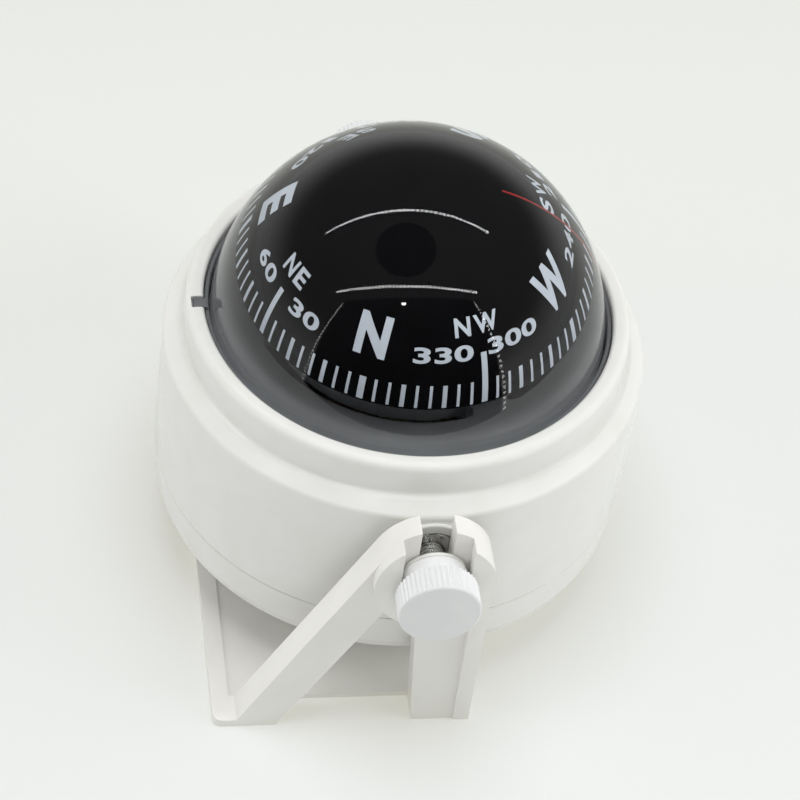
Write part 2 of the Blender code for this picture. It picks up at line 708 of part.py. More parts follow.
def platform_slot(name, middle):
    """A cutter for an arc-shaped slot with round ends, about an azimuth."""
    inner, outer = ARC_SLOT_INNER, ARC_SLOT_OUTER
    half = math.radians(ARC_SLOT_HALF_TURN)
    centre = (inner + outer) / 2
    end = (outer - inner) / 2
    points = []
    steps = 10
    for i in range(steps + 1):
        turn = middle - half + 2 * half * i / steps
        points.append((outer * math.cos(turn), outer * math.sin(turn)))
    for i in range(1, 4):
        turn = middle + half
        swing = turn + math.pi * i / 4
        x = centre * math.cos(turn) + end * math.cos(swing)
        points.append((x, centre * math.sin(turn) + end * math.sin(swing)))
    for i in range(steps + 1):
        turn = middle + half - 2 * half * i / steps
        points.append((inner * math.cos(turn), inner * math.sin(turn)))
    for i in range(1, 4):
        turn = middle - half
        swing = turn + math.pi + math.pi * i / 4
        x = centre * math.cos(turn) + end * math.cos(swing)
        points.append((x, centre * math.sin(turn) + end * math.sin(swing)))
    made = outline(name, points, 8 * MM, into=CUTTERS)
    made.location = (0.0, 0.0, (PLATFORM_TOP_Z + PLATFORM_FOOT_Z) / 2)
    return made


def gimbal_platform():
    """Grey plate across the capsule, with three arc slots and the gimbal's two pin blocks."""
    profile = [
        (15.5 * MM, PLATFORM_TOP_Z),
        (42.5 * MM, PLATFORM_TOP_Z),
        (42.5 * MM, DOME_FOOT_Z - GAP),
        (44.9 * MM, DOME_FOOT_Z - GAP),
        (44.9 * MM, PLATFORM_FOOT_Z),
        (15.5 * MM, PLATFORM_FOOT_Z),
    ]
    plate = turned("gimbal_platform", profile, GREY)
    plate.rotation_euler = (0.0, 0.0, math.pi / ROUND)
    for i in range(3):
        middle = math.radians(120.0 * i)
        cut(plate, platform_slot(f"arc_slot_{i}", middle))
    for side in (-1, 1):
        block = box(
            f"pin_block_{side}",
            (min(side * 16.0, side * 20.0) * MM, -2.5 * MM, PLATFORM_FOOT_Z + MM),
            (max(side * 16.0, side * 20.0) * MM, 2.5 * MM, DOME_Z + 2.4 * MM),
            into=CUTTERS,
        )
        join(plate, block)
    bore = rod(
        "gimbal_bore",
        (-20.3 * MM, 0.0, DOME_Z),
        (20.3 * MM, 0.0, DOME_Z),
        GIMBAL_PIN_RADIUS + GAP,
        steps=16,
        into=CUTTERS,
    )
    cut(plate, bore)
    return plate


def lubber_line():
    """Red pointer that follows the inside of the dome, from the platform's rim upwards."""
    curve = bpy.data.curves.new("lubber_route", "CURVE")
    curve.dimensions = "3D"
    curve.bevel_depth = 0.32 * MM
    curve.bevel_resolution = 1
    curve.use_fill_caps = True
    line = curve.splines.new("POLY")
    route = [(41.9 * MM, PLATFORM_TOP_Z + 0.75 * MM)]
    route += arc(0.0, DOME_Z, DOME_RADIUS - DOME_THICK - 0.75 * MM, 4.0, 67.0, 12)
    line.points.add(len(route) - 1)
    for point, (r, z) in zip(line.points, route):
        point.co = (r, 0.0, z, 1.0)
    guide = bpy.data.objects.new("lubber_route", curve)
    CUTTERS.objects.link(guide)
    depsgraph = bpy.context.evaluated_depsgraph_get()
    mesh = bpy.data.meshes.new_from_object(guide.evaluated_get(depsgraph))
    shape = bmesh.new()
    shape.from_mesh(mesh)
    bmesh.ops.remove_doubles(shape, verts=shape.verts, dist=0.000005)
    bmesh.ops.recalc_face_normals(shape, faces=shape.faces)
    shape.to_mesh(mesh)
    shape.free()
    bpy.data.objects.remove(guide)
    return link("lubber_line", mesh, RED)


# Compensators


def spindle_places():
    """Where the two compensating magnets' spindles stand in the bottom cover."""
    return [(SPINDLE_RING, 0.0), (0.0, SPINDLE_RING)]


def compensator(name, place):
    """Brass spindle that carries a compensating magnet, turned from below with a screwdriver."""
    x, y = place
    foot = BOTTOM_Z + WALL_THICK + GAP
    profile = [(0.0, SPINDLE_TOP_Z), (SPINDLE_TABLE_RADIUS, SPINDLE_TOP_Z), (SPINDLE_TABLE_RADIUS, foot)]
    profile += [(SPINDLE_RADIUS, foot), (SPINDLE_RADIUS, BOTTOM_Z + GAP), (0.0, BOTTOM_Z + GAP)]
    spindle = turned(name, profile, BRASS, steps=SMALL, closed=False)
    spindle.location = (x, y, 0.0)
    groove = box(
        name + "_groove",
        (x - 4 * MM, y - 0.4 * MM, 8 * MM),
        (x + 4 * MM, y + 0.4 * MM, BOTTOM_Z + MM),
        into=CUTTERS,
    )
    cut(spindle, groove)
    return spindle


def compensator_magnet(name, place, along_y):
    """Bar magnet that lies on a spindle's table."""
    x, y = place
    length, width, height = COMPENSATOR_MAGNET
    wide, deep = (width, length) if along_y else (length, width)
    foot = SPINDLE_TOP_Z + GAP
    low = (x - wide / 2, y - deep / 2, foot)
    high = (x + wide / 2, y + deep / 2, foot + height)
    return box(name, low, high, MAGNET)


# Gimbal and card


def gimbal_ring():
    """Brass ring that tilts about X in the platform's blocks."""
    half = 1.5 * MM
    profile = [
        (GIMBAL_RING_INNER, DOME_Z + half),
        (GIMBAL_RING_OUTER, DOME_Z + half),
        (GIMBAL_RING_OUTER, DOME_Z - half),
        (GIMBAL_RING_INNER, DOME_Z - half),
    ]
    ring = turned("gimbal_ring", profile, BRASS, steps=40)
    bore = rods(
        "ring_bores",
        [
            ((0.0, -20 * MM, DOME_Z), (0.0, 20 * MM, DOME_Z), GIMBAL_PIN_RADIUS + GAP),
            ((-20 * MM, 0.0, DOME_Z), (-8 * MM, 0.0, DOME_Z), GIMBAL_PIN_RADIUS + GAP / 3),
            ((8 * MM, 0.0, DOME_Z), (20 * MM, 0.0, DOME_Z), GIMBAL_PIN_RADIUS + GAP / 3),
        ],
        steps=16,
        into=CUTTERS,
    )
    cut(ring, bore)
    return ring


def ring_pin(name, side):
    """One of the ring's two pins, which run in the platform's blocks."""
    start = (side * 11.6 * MM, 0.0, DOME_Z)
    end = (side * 19.6 * MM, 0.0, DOME_Z)
    return rod(name, start, end, GIMBAL_PIN_RADIUS, STEEL, steps=12)


def pivot_cradle():
    """Hub that tilts about Y in the ring, with a stem for the counterweight below it."""
    profile = [(0.0, DOME_Z + 2.2 * MM), (6.0 * MM, DOME_Z + 2.2 * MM), (8.4 * MM, DOME_Z + 0.9 * MM)]
    profile += [(8.4 * MM, DOME_Z - 3.0 * MM), (6.0 * MM, COUNTERWEIGHT_TOP_Z)]
    profile += [(CRADLE_STEM_RADIUS, COUNTERWEIGHT_TOP_Z), (CRADLE_STEM_RADIUS, COUNTERWEIGHT_FOOT_Z)]
    profile += [(5.0 * MM, COUNTERWEIGHT_FOOT_Z), (5.0 * MM, 41.5 * MM), (0.0, 41.5 * MM)]
    hub = turned("pivot_cradle", profile, BRASS, steps=24, closed=False)
    holes = rods(
        "cradle_holes",
        [
            ((0.0, -12 * MM, DOME_Z), (0.0, -5.0 * MM, DOME_Z), GIMBAL_PIN_RADIUS + GAP / 3),
            ((0.0, 5.0 * MM, DOME_Z), (0.0, 12 * MM, DOME_Z), GIMBAL_PIN_RADIUS + GAP / 3),
            ((0.0, 0.0, DOME_Z - 1.5 * MM), (0.0, 0.0, DOME_Z + 4 * MM), POST_STEM_RADIUS + GAP / 3),
        ],
        steps=16,
        into=CUTTERS,
    )
    cut(hub, holes)
    return hub


def cradle_pin(name, side):
    """One of the cradle's two pins, which run in the ring."""
    start = (0.0, side * 5.3 * MM, DOME_Z)
    end = (0.0, side * 13.2 * MM, DOME_Z)
    return rod(name, start, end, GIMBAL_PIN_RADIUS, STEEL, steps=12)


def counterweight():
    """Brass ring on the cradle's stem that keeps the card level."""
    bore = CRADLE_STEM_RADIUS + GAP
    top = COUNTERWEIGHT_TOP_Z - GAP
    foot = COUNTERWEIGHT_FOOT_Z + GAP
    profile = [(bore, top), (8.5 * MM, top), (9.5 * MM, top - MM), (9.5 * MM, foot), (bore, foot)]
    return turned("counterweight", profile, BRASS, steps=24)


def pivot_post():
    """Steel post with the point that the card turns on."""
    foot = DOME_Z - 1.2 * MM
    profile = [(0.0, PIVOT_TIP_Z), (0.35 * MM, PIVOT_TIP_Z - 0.7 * MM)]
    profile += [(POST_STEM_RADIUS, PIVOT_TIP_Z - 3 * MM), (POST_STEM_RADIUS, foot), (0.0, foot)]
    return turned("pivot_post", profile, STEEL, steps=16, closed=False)


def compass_card():
    """Black hemispherical dial."""
    inner = CARD_RADIUS - CARD_THICK
    top = CARD_CENTRE_Z
    profile = [(0.0, top + CARD_RADIUS)] + arc(0.0, top, CARD_RADIUS, 90.0, 0.0, 8)[1:]
    profile += arc(0.0, top, inner, 0.0, 90.0, 7)[:-1] + [(0.0, top + inner)]
    return turned("compass_card", profile, DIAL, closed=False)


def card_float():
    """Closed-cell float glued inside the card, with a bore over the pivot post."""
    bore = JEWEL_RADIUS + GAP
    profile = [
        (bore, FLOAT_TOP_Z),
        (20.4 * MM, FLOAT_TOP_Z),
        (24.0 * MM, FLOAT_TOP_Z - 3.2 * MM),
        (24.0 * MM, FLOAT_FOOT_Z),
        (bore, FLOAT_FOOT_Z),
    ]
    return turned("card_float", profile, FOAM, steps=40)


def jewel_cup():
    """Jewelled cup in the float that rests on the pivot's point."""
    cone = 1.1 * MM
    foot = PIVOT_TIP_Z - 0.6 * MM
    top = PIVOT_TIP_Z + 4.5 * MM
    profile = [(0.0, top), (JEWEL_RADIUS, top), (JEWEL_RADIUS, foot), (cone, foot), (0.0, PIVOT_TIP_Z + GAP)]
    return turned("jewel_cup", profile, STEEL, steps=SMALL, closed=False)


def card_magnet(name, side):
    """One of the two bar magnets under the float, in line with north."""
    width, length, height = CARD_MAGNET
    x = side * CARD_MAGNET_X
    top = FLOAT_FOOT_Z - GAP
    low = (x - width / 2, -length / 2, top - height)
    high = (x + width / 2, length / 2, top)
    magnet = box(name, low, high, MAGNET)
    magnet.rotation_euler = (0.0, 0.0, NORTH_AZIMUTH)
    return magnet


# Clamp knobs


def thumb_knob(name, side):
    """Ribbed knob with a plain collar, moulded over the stud."""
    face, back = KNOB_FACE_Y, KNOB_BACK_Y
    inner = COUNTERBORE_FLOOR_Y + 1.45 * MM
    bore = STUD_RADIUS + GAP
    profile = [(0.0, face), (KNOB_RADIUS - 0.7 * MM, face), (KNOB_RADIUS, face - 0.7 * MM)]
    profile += [(KNOB_RADIUS, back + 0.5 * MM), (KNOB_RADIUS - 0.5 * MM, back), (COLLAR_RADIUS, back)]
    socket = STUD_HEAD_Y + GAP
    profile += [(COLLAR_RADIUS, inner), (bore, inner), (bore, socket), (0.0, socket)]
    knob = turned(name, profile, WHITE, steps=2 * KNURLS, closed=False)
    return on_tilt_axis(knob, side)


def knob_stud(name, side):
    """Steel stud that the knob turns in the housing's insert."""
    tip = STUD_TIP_Y
    profile = [(0.0, STUD_HEAD_Y), (STUD_RADIUS, STUD_HEAD_Y), (STUD_RADIUS, tip + 0.6 * MM)]
    profile += [(STUD_RADIUS - 0.6 * MM, tip), (0.0, tip)]
    return on_tilt_axis(turned(name, profile, STEEL, steps=SMALL, closed=False), side)


def thrust_washer(name, side):
    """Nylon washer between the knob's collar and the floor of the arm's counterbore."""
    low = COUNTERBORE_FLOOR_Y + GAP
    high = COUNTERBORE_FLOOR_Y + 1.15 * MM
    bore = STUD_RADIUS + GAP
    profile = [(bore, high), (COLLAR_RADIUS, high), (COLLAR_RADIUS, low), (bore, low)]
    return on_tilt_axis(turned(name, profile, NYLON, steps=24), side)


def build():
    """Make every piece, and hang each moving group on an empty at its joint."""
    bracket()
    tilt = empty("tilt_axis", (0.0, 0.0, TILT_AXIS_Z))
    gimbal = empty("gimbal_centre", (0.0, 0.0, DOME_Z))
    carry(tilt, upper_housing(), lower_housing())
    for side, word in ((-1, "near"), (1, "far")):
        clamp = empty(f"{word}_knob_axis", (0.0, side * KNOB_FACE_Y, TILT_AXIS_Z))
        carry(tilt, pivot_insert(f"pivot_insert_{word}", side))
        carry(tilt, friction_washer(f"friction_washer_{word}", side))
        carry(clamp, thumb_knob(f"thumb_knob_{word}", side), knob_stud(f"knob_stud_{word}", side))
        carry(clamp, thrust_washer(f"thrust_washer_{word}", side))
    for i, place in enumerate(around(4, POST_RING_RADIUS, math.pi / 4)):
        head = (SCREW_SEAT_Z - 2.0 * MM, SCREW_SEAT_Z - 0.4 * MM)
        carry(tilt, screw(f"housing_screw_{i}", place, head, 34 * MM, 2.8 * MM, 1.4 * MM))
    for i, place in enumerate(around(4, RETAINER_SCREW_RING, math.pi / 4)):
        head = (LEDGE_Z - 3.0 * MM, LEDGE_Z - 1.6 * MM)
        carry(tilt, screw(f"retainer_screw_{i}", place, head, 61.0 * MM, 1.9 * MM, 0.9 * MM))
    carry(tilt, dome(), dome_clamp_ring(), dome_gasket(), gimbal_platform(), capsule_bowl())
    carry(tilt, diaphragm(), diaphragm_ring(), capsule_retainer(), fill_plug(), lubber_line())
    first, second = spindle_places()
    carry(tilt, compensator("compensator_fore_aft", first), compensator("compensator_athwart", second))
    carry(tilt, compensator_magnet("compensator_magnet_fore_aft", first, True))
    carry(tilt, compensator_magnet("compensator_magnet_athwart", second, False))
    carry(gimbal, gimbal_ring(), pivot_cradle(), counterweight(), pivot_post())
    carry(gimbal, compass_card(), card_float(), jewel_cup())
    for side, word in ((-1, "a"), (1, "b")):
        carry(gimbal, ring_pin(f"ring_pin_{word}", side), cradle_pin(f"cradle_pin_{word}", side))
        carry(gimbal, card_magnet(f"card_magnet_{word}", side))


build()
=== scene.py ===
"""Looks for a bracket-mounted, liquid-filled dome compass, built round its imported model.

Lengths are in metres. Azimuths on the card run from -Y towards +X, and bearings run the other way.
"""

import json
import math

import bmesh
import bpy
from mathutils import Matrix, Vector


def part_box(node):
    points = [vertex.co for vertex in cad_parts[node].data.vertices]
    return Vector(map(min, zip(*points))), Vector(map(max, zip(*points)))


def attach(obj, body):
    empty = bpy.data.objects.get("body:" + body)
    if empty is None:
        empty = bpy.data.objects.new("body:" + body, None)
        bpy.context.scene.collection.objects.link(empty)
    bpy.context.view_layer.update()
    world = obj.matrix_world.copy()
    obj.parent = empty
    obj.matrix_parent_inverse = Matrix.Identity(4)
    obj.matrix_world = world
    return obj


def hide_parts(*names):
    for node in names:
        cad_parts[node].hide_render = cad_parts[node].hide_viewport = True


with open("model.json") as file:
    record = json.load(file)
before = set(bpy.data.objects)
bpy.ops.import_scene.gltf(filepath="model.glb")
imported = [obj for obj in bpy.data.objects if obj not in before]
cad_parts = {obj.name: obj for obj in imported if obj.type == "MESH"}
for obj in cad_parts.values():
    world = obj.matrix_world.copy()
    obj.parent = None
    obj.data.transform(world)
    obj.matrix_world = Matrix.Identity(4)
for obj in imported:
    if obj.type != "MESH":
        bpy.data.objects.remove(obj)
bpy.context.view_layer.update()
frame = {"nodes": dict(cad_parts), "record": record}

MM = 0.001
JOINTS = {joint["name"]: joint for joint in frame["record"]["behaviour"]["joints"]}

# Places read from the frame
BRACKET_LOW, BRACKET_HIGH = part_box("bracket")
COVER_LOW, COVER_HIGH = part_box("lower_housing")
HOUSING_LOW, HOUSING_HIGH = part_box("upper_housing")
CARD_LOW, CARD_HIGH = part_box("compass_card")
DOME_LOW, DOME_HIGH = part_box("dome")
STUD_END_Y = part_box("knob_stud_far")[1][1]
TILT_AXIS_Z = JOINTS["housing_tilt"]["pos_m"][2]
GIMBAL_Z = JOINTS["gimbal_roll"]["pos_m"][2]

# Camera
CAMERA_LENS = 157.7
CAMERA_DISTANCE = 822.1 * MM
CAMERA_AZIMUTH = math.radians(-13.14)
CAMERA_ELEVATION = math.radians(46.31)
CAMERA_ROLL = math.radians(8.68)
CAMERA_TARGET = Vector((0.0, 0.0, 39.58 * MM))
CAMERA_SLIDE = 1.23 * MM  # how far the target lies to the camera's right

# Bracket
PLATE_THICK = 1.5 * MM
RAIL_WIDTH = 4.0 * MM
RAIL_TOP = 2.1 * MM
RAIL_HALF_Y = 60.0 * MM
PLATE_HALF_Y = 56.9 * MM
ARM_INNER_Y = 57.35 * MM
ARM_OUTER_Y = 64.4 * MM
BOSS_RADIUS = 13.6 * MM
STRUT_TOP_FOOT_X = -41.4 * MM
STRUT_LOW_FOOT_X = -31.2 * MM
STRUT_SLOPE = 1.955
STRUT_BOSS_TURN = 226.5  # degrees round the boss, where the strut's lower edge meets it
LEG_LEFT_FOOT_X = 0.2 * MM
LEG_BOSS_TURN = 260.2  # degrees round the boss, where the leg's left edge meets it
LEG_FLANGE_X = 9.9 * MM
LEG_RECESS_LEFT = -3.2 * MM
LEG_RECESS_TOP_Z = 35.1 * MM
LEG_RECESS_TOP = 2.6 * MM
LEG_RECESS_FOOT = 0.4 * MM
FOOT_CORNER = 2.2 * MM  # the strut feet's outer corners in plan
SLOT_WIDTH = 7.6 * MM
COUNTERBORE_WIDTH = 15.6 * MM
COUNTERBORE_FLOOR_Y = 62.7 * MM
BASE_HOLE_RADIUS = 2.3 * MM
BASE_HOLES = [(x * MM, y * MM) for x in (-36.0, 4.0) for y in (14.0, -14.0)]
MOULD_EDGE = 0.45 * MM  # how far the moulding's edges are rounded
OVERLAP = 2.0 * MM  # how far joined blocks and cutters reach past the face they meet
BOSS_SHRINK = 0.01 * MM  # keeps the boss's round face off the arm's

# Housing
WALL_RADIUS = HOUSING_HIGH[0]
LIP_TOP_Z = HOUSING_HIGH[2]
SEAM_Z = HOUSING_LOW[2]
BOTTOM_Z = COVER_LOW[2]
PAD_Y = HOUSING_HIGH[1]
PAD_RADIUS = 9.4 * MM
PAD_BORE = 4.9 * MM
PAD_ROOT_Y = 50.0 * MM
WALL_THICK = 2.6 * MM
POST_RING_RADIUS = 43.0 * MM
SCREW_BORE = 1.7 * MM
COVER_CUT_Z = 5.0 * MM  # where the cutters for the cover's holes begin, below the cover

# Capsule and card
DOME_RADIUS = DOME_HIGH[2] - GIMBAL_Z
CARD_RADIUS = (CARD_HIGH[0] - CARD_LOW[0]) / 2
CARD_CENTRE_Z = CARD_LOW[2]
NORTH_AZIMUTH = math.radians(-25.5)
LIQUID_IOR = 1.45
FLANGE_TOP_Z = 66.9 * MM
RING_TOP_Z = 70.6 * MM
LUBBER_INSET = 3.25 * MM  # from the dome's outside to the red line's middle
LUBBER_RADIUS = 0.26 * MM

# Printed marks: bearings and elevations in degrees, widths and heights in millimetres
PRINT_HEIGHT = 0.05 * MM  # how far the marks stand off the card
TICK_LOW, TICK_TOP = 1.2, 10.8
HALF_WIND_TICK_TOP = 21.9
TICK_WIDTH, TICK_15_WIDTH, TICK_90_WIDTH, HALF_WIND_TICK_WIDTH = 0.62, 0.95, 1.4, 1.3
TICK_ROWS = 12
GLYPH_GRID = 10
CARDINALS = [  # letter, bearing, elevation, width, height
    ("N", 0.0, 27.2, 6.9, 9.4),
    ("E", 86.7, 26.8, 6.4, 10.8),
    ("S", 181.0, 34.5, 7.0, 10.0),
    ("W", 271.8, 28.8, 10.8, 10.4),
]
CARDINAL_WEIGHT = 0.045
HALF_WINDS = [  # letters, bearing, elevation
    ("NE", 44.6, 30.6),
    ("SE", 132.0, 38.0),
    ("SW", 227.2, 36.6),
    ("NW", 316.4, 32.6),
]
HALF_WIND_WIDTHS = {"N": 3.5, "E": 3.1, "S": 3.4, "W": 5.4}
HALF_WIND_HEIGHT = 4.2
HALF_WIND_GAP = 0.9
NUMBERS = [  # number, bearing, elevation
    (30, 30.4, 21.0),
    (60, 59.0, 20.8),
    (120, 117.5, 27.0),
    (150, 150.0, 28.0),
    (210, 212.0, 27.5),
    (240, 243.4, 24.6),
    (300, 301.2, 23.2),
    (330, 331.3, 22.8),
]
DIGIT_WIDTH = 3.8
DIGIT_WIDTHS = {"0": 4.15, "1": 2.2, "3": 3.6}
DIGIT_HEIGHT = 3.6
DIGIT_STEP = 8.3  # degrees from one digit to the next
SMALL_WEIGHT = 0.03  # of the half-winds' letters and the digits

# Knobs
SIDES = ((-1, "near"), (1, "far"))  # which way each side lies along Y
KNOB_FACE_Y, KNOB_BACK_Y = 74.85 * MM, 68.05 * MM
KNOB_RADIUS = 9.26 * MM
KNOB_RECESS = 1.9 * MM  # how far the stud's hole stops behind the face
COLLAR_RADIUS = 7.5 * MM
COLLAR_END_Y = 64.15 * MM
STUD_BORE = 3.25 * MM
KNURLS = 48
KNURL_DEPTH = 0.36 * MM
KNURL_FOOT = 8.6 * MM  # the knurls lie outside this radius
KNURL_FACE_GAP = 0.35 * MM  # the knurls stop this far behind the face
NUB_Y = 66.7 * MM  # small moulding nub on top of the near collar, and under the far one
NUB_HALF = 0.6 * MM
NUB_HEIGHT = 0.35 * MM
STUD_START_Y = 50.0 * MM
THREAD_RADIUS = 2.95 * MM
THREAD_PITCH = 1.0 * MM
THREAD_DEPTH = 0.5 * MM
THREAD_ROWS = 8  # rows of points to a pitch

# Stage, with its places in metres
FLOOR_HALF = 6.0
FLOOR_NEAR_GLOW, FLOOR_FAR_GLOW = (0.33, 0.31, 0.235), (0.58, 0.58, 0.56)
FLOOR_GLOW_FROM, FLOOR_GLOW_TO = 0.35, 1.6  # how far out the floor's own light begins and ends its rise
WORLD_COLOUR = (1.0, 1.0, 0.985)
WORLD_LIGHT = 0.43  # what lights the compass
WORLD_SEEN = 0.80  # what the camera sees, and what is mirrored at the horizon
WORLD_MIRRORED_TOP = 0.15  # what is mirrored from overhead
WORLD_TOP_Z = 0.42  # how high a direction has to point to count as overhead
LAMP_AIM = (0.0, 0.0, 30 * MM)
LAMP_SIZE = 0.5
LAMPS = [  # name, place, power
    ("top", (-0.03, 0.0, 0.75), 2.46),
    ("right_fill", (0.65, -0.2, 0.40), 2.04),
    ("left_fill", (-0.65, -0.1, 0.40), 1.05),
]
TENT_ROWS = [  # name, start, end, number of lamps, lamp size, glow
    ("row_back", (-0.333, 0.147, 0.40), (0.232, 0.060, 0.40), 46, 8 * MM, 20.0),
    ("row_front", (-0.377, -0.143, 0.40), (0.209, -0.189, 0.40), 46, 8 * MM, 17.0),
    ("row_left", (-0.338, -0.190, 0.36), (-0.338, -0.190, 0.01), 26, 7 * MM, 4.0),
    ("row_right", (0.188, -0.208, 0.36), (0.188, -0.208, 0.01), 26, 7 * MM, 7.0),
    ("lamp_spot", (-0.065, -0.1965, 0.335), (-0.059, -0.1965, 0.335), 2, 7 * MM, 60.0),
]
DOME_MIDDLE = (0.0, 0.0, 60 * MM)  # what the rows of lamps face
HOLE_PLACE = (-0.046, -0.040, 0.0)
HOLE_RADIUS = 0.093
HOLE_LOW, HOLE_HIGH = 0.400, 0.401
FRONT_LEFT, FRONT_RIGHT = (-0.336, -0.199), (0.186, -0.217)
FRONT_HIGH = 0.39

ROUND = 192  # steps in a large turned piece
SMALL = 64  # steps in a small one
WELD_REACH = 0.0005 * MM


# Materials


def shader_of(name):
    """A new material and its Principled shader."""
    made = bpy.data.materials.new(name)
    made.use_nodes = True
    return made, made.node_tree.nodes["Principled BSDF"]


def noise(tree, size, detail=3.0):
    """A noise texture whose blobs are about the given size, in the object's own metres."""
    place = tree.nodes.new("ShaderNodeTexCoord")
    made = tree.nodes.new("ShaderNodeTexNoise")
    made.inputs["Scale"].default_value = 1.0 / size
    made.inputs["Detail"].default_value = detail
    tree.links.new(place.outputs["Object"], made.inputs["Vector"])
    return made


def spread(tree, source, low, high, begin=0.3, end=0.7):
    """A number that runs from low to high as the noise does."""
    made = tree.nodes.new("ShaderNodeMapRange")
    made.inputs["From Min"].default_value = begin
    made.inputs["From Max"].default_value = end
    made.inputs["To Min"].default_value = low
    made.inputs["To Max"].default_value = high
    tree.links.new(source.outputs["Fac"], made.inputs["Value"])
    return made.outputs["Result"]


def material(name, colour, shade, roughness, grain, relief, metallic=0.0, patch=9 * MM):
    """A Principled material: two shades in soft patches, uneven gloss and a fine surface grain."""
    made, shader = shader_of(name)
    tree = made.node_tree
    mix = tree.nodes.new("ShaderNodeMix")
    mix.data_type = "RGBA"
    mix.inputs["A"].default_value = (*colour, 1.0)
    mix.inputs["B"].default_value = (*shade, 1.0)
    patches = noise(tree, patch)
    tree.links.new(spread(tree, patches, 0.0, 1.0), mix.inputs["Factor"])
    tree.links.new(mix.outputs["Result"], shader.inputs["Base Color"])
    fine = noise(tree, grain)
    low, high = roughness
    tree.links.new(spread(tree, fine, low, high), shader.inputs["Roughness"])
    bump = tree.nodes.new("ShaderNodeBump")
    bump.inputs["Strength"].default_value = 1.0
    bump.inputs["Distance"].default_value = relief
    tree.links.new(fine.outputs["Fac"], bump.inputs["Height"])
    tree.links.new(bump.outputs["Normal"], shader.inputs["Normal"])
    shader.inputs["Metallic"].default_value = metallic
    return made


def matt_in_liquid(made):
    """Take nearly all the sheen off a surface that lies in a liquid as dense as its paint."""
    made.node_tree.nodes["Principled BSDF"].inputs["Specular IOR Level"].default_value = 0.03
    return made


def clear_material():
    """Clear acrylic and liquid. Lamps light what is inside straight through it."""
    made, shader = shader_of("clear_capsule")
    tree = made.node_tree
    shader.inputs["Base Color"].default_value = (0.985, 0.99, 0.985, 1.0)
    shader.inputs["Transmission Weight"].default_value = 1.0
    shader.inputs["IOR"].default_value = LIQUID_IOR
    smudge = noise(tree, 14 * MM, detail=4.0)
    uneven = spread(tree, smudge, 0.0, 0.002, begin=0.5, end=0.8)
    tree.links.new(uneven, shader.inputs["Roughness"])
    see_through = tree.nodes.new("ShaderNodeBsdfTransparent")
    path = tree.nodes.new("ShaderNodeLightPath")
    mix = tree.nodes.new("ShaderNodeMixShader")
    tree.links.new(path.outputs["Is Shadow Ray"], mix.inputs["Fac"])
    tree.links.new(shader.outputs["BSDF"], mix.inputs[1])
    tree.links.new(see_through.outputs["BSDF"], mix.inputs[2])
    tree.links.new(mix.outputs["Shader"], tree.nodes["Material Output"].inputs["Surface"])
    return made


# Each has a name, two shades, a span of roughness, the size of its grain and the grain's relief
WHITE = material(
    "white_moulding", (0.83, 0.83, 0.81), (0.80, 0.80, 0.77), (0.16, 0.24), 1.1 * MM, 0.006 * MM
)
FRAME_WHITE = material(
    "bracket_moulding", (0.87, 0.86, 0.83), (0.84, 0.83, 0.79), (0.3, 0.4), 0.7 * MM, 0.01 * MM
)
KNOB_WHITE = material(
    "knob_moulding", (0.83, 0.84, 0.84), (0.79, 0.80, 0.81), (0.42, 0.55), 0.35 * MM, 0.02 * MM
)
GREY = material(
    "grey_moulding", (0.150, 0.158, 0.166), (0.13, 0.136, 0.144), (0.34, 0.46), 0.5 * MM, 0.01 * MM
)
BLACK = material(
    "black_moulding", (0.018, 0.015, 0.012), (0.03, 0.022, 0.015), (0.4, 0.55), 0.5 * MM, 0.01 * MM
)
DIAL = matt_in_liquid(
    material("dial_black", (0.0012, 0.0012, 0.0016), (0.0022, 0.0022, 0.003), (0.55, 0.6), 4 * MM, 0.0)
)
PRINT = matt_in_liquid(
    material(
        "dial_print", (0.55, 0.60, 0.67), (0.51, 0.56, 0.63), (0.45, 0.6), 0.3 * MM, 0.005 * MM,
        patch=3 * MM,
    )
)
RED = material("lubber_enamel", (0.34, 0.012, 0.014), (0.26, 0.01, 0.01), (0.3, 0.45), 0.5 * MM, 0.01 * MM)
RUBBER = material(
    "black_rubber", (0.018, 0.018, 0.018), (0.03, 0.03, 0.03), (0.7, 0.85), 0.4 * MM, 0.02 * MM
)
NYLON = material("white_nylon", (0.8, 0.8, 0.77), (0.74, 0.74, 0.71), (0.35, 0.5), 0.5 * MM, 0.01 * MM)
STEEL = material(
    "turned_steel", (0.86, 0.86, 0.85), (0.7, 0.7, 0.7), (0.12, 0.24), 0.25 * MM, 0.004 * MM,
    metallic=1.0, patch=2 * MM,
)
BRASS = material(
    "turned_brass", (0.72, 0.52, 0.25), (0.6, 0.42, 0.19), (0.22, 0.38), 0.25 * MM, 0.004 * MM,
    metallic=1.0, patch=2 * MM,
)
MAGNET = material(
    "sintered_magnet", (0.12, 0.12, 0.13), (0.08, 0.08, 0.085), (0.45, 0.6), 0.3 * MM, 0.02 * MM,
    metallic=0.6,
)
FOAM = material(
    "float_foam", (0.7, 0.66, 0.55), (0.62, 0.58, 0.47), (0.8, 0.95), 0.5 * MM, 0.1 * MM, patch=2 * MM
)
CLEAR = clear_material()


# Mesh helpers


def added(name, data):
    """A new object in the scene."""
    made = bpy.data.objects.new(name, data)
    bpy.context.scene.collection.objects.link(made)
    return made


def evaluated_mesh(thing):
    """The mesh of an object with its modifiers, or of a curve or a text."""
    depsgraph = bpy.context.evaluated_depsgraph_get()
    return bpy.data.meshes.new_from_object(thing.evaluated_get(depsgraph))


def in_mm(rows):
    """Rows of numbers in millimetres, turned into metres."""
    return [tuple(value * MM for value in row) for row in rows]


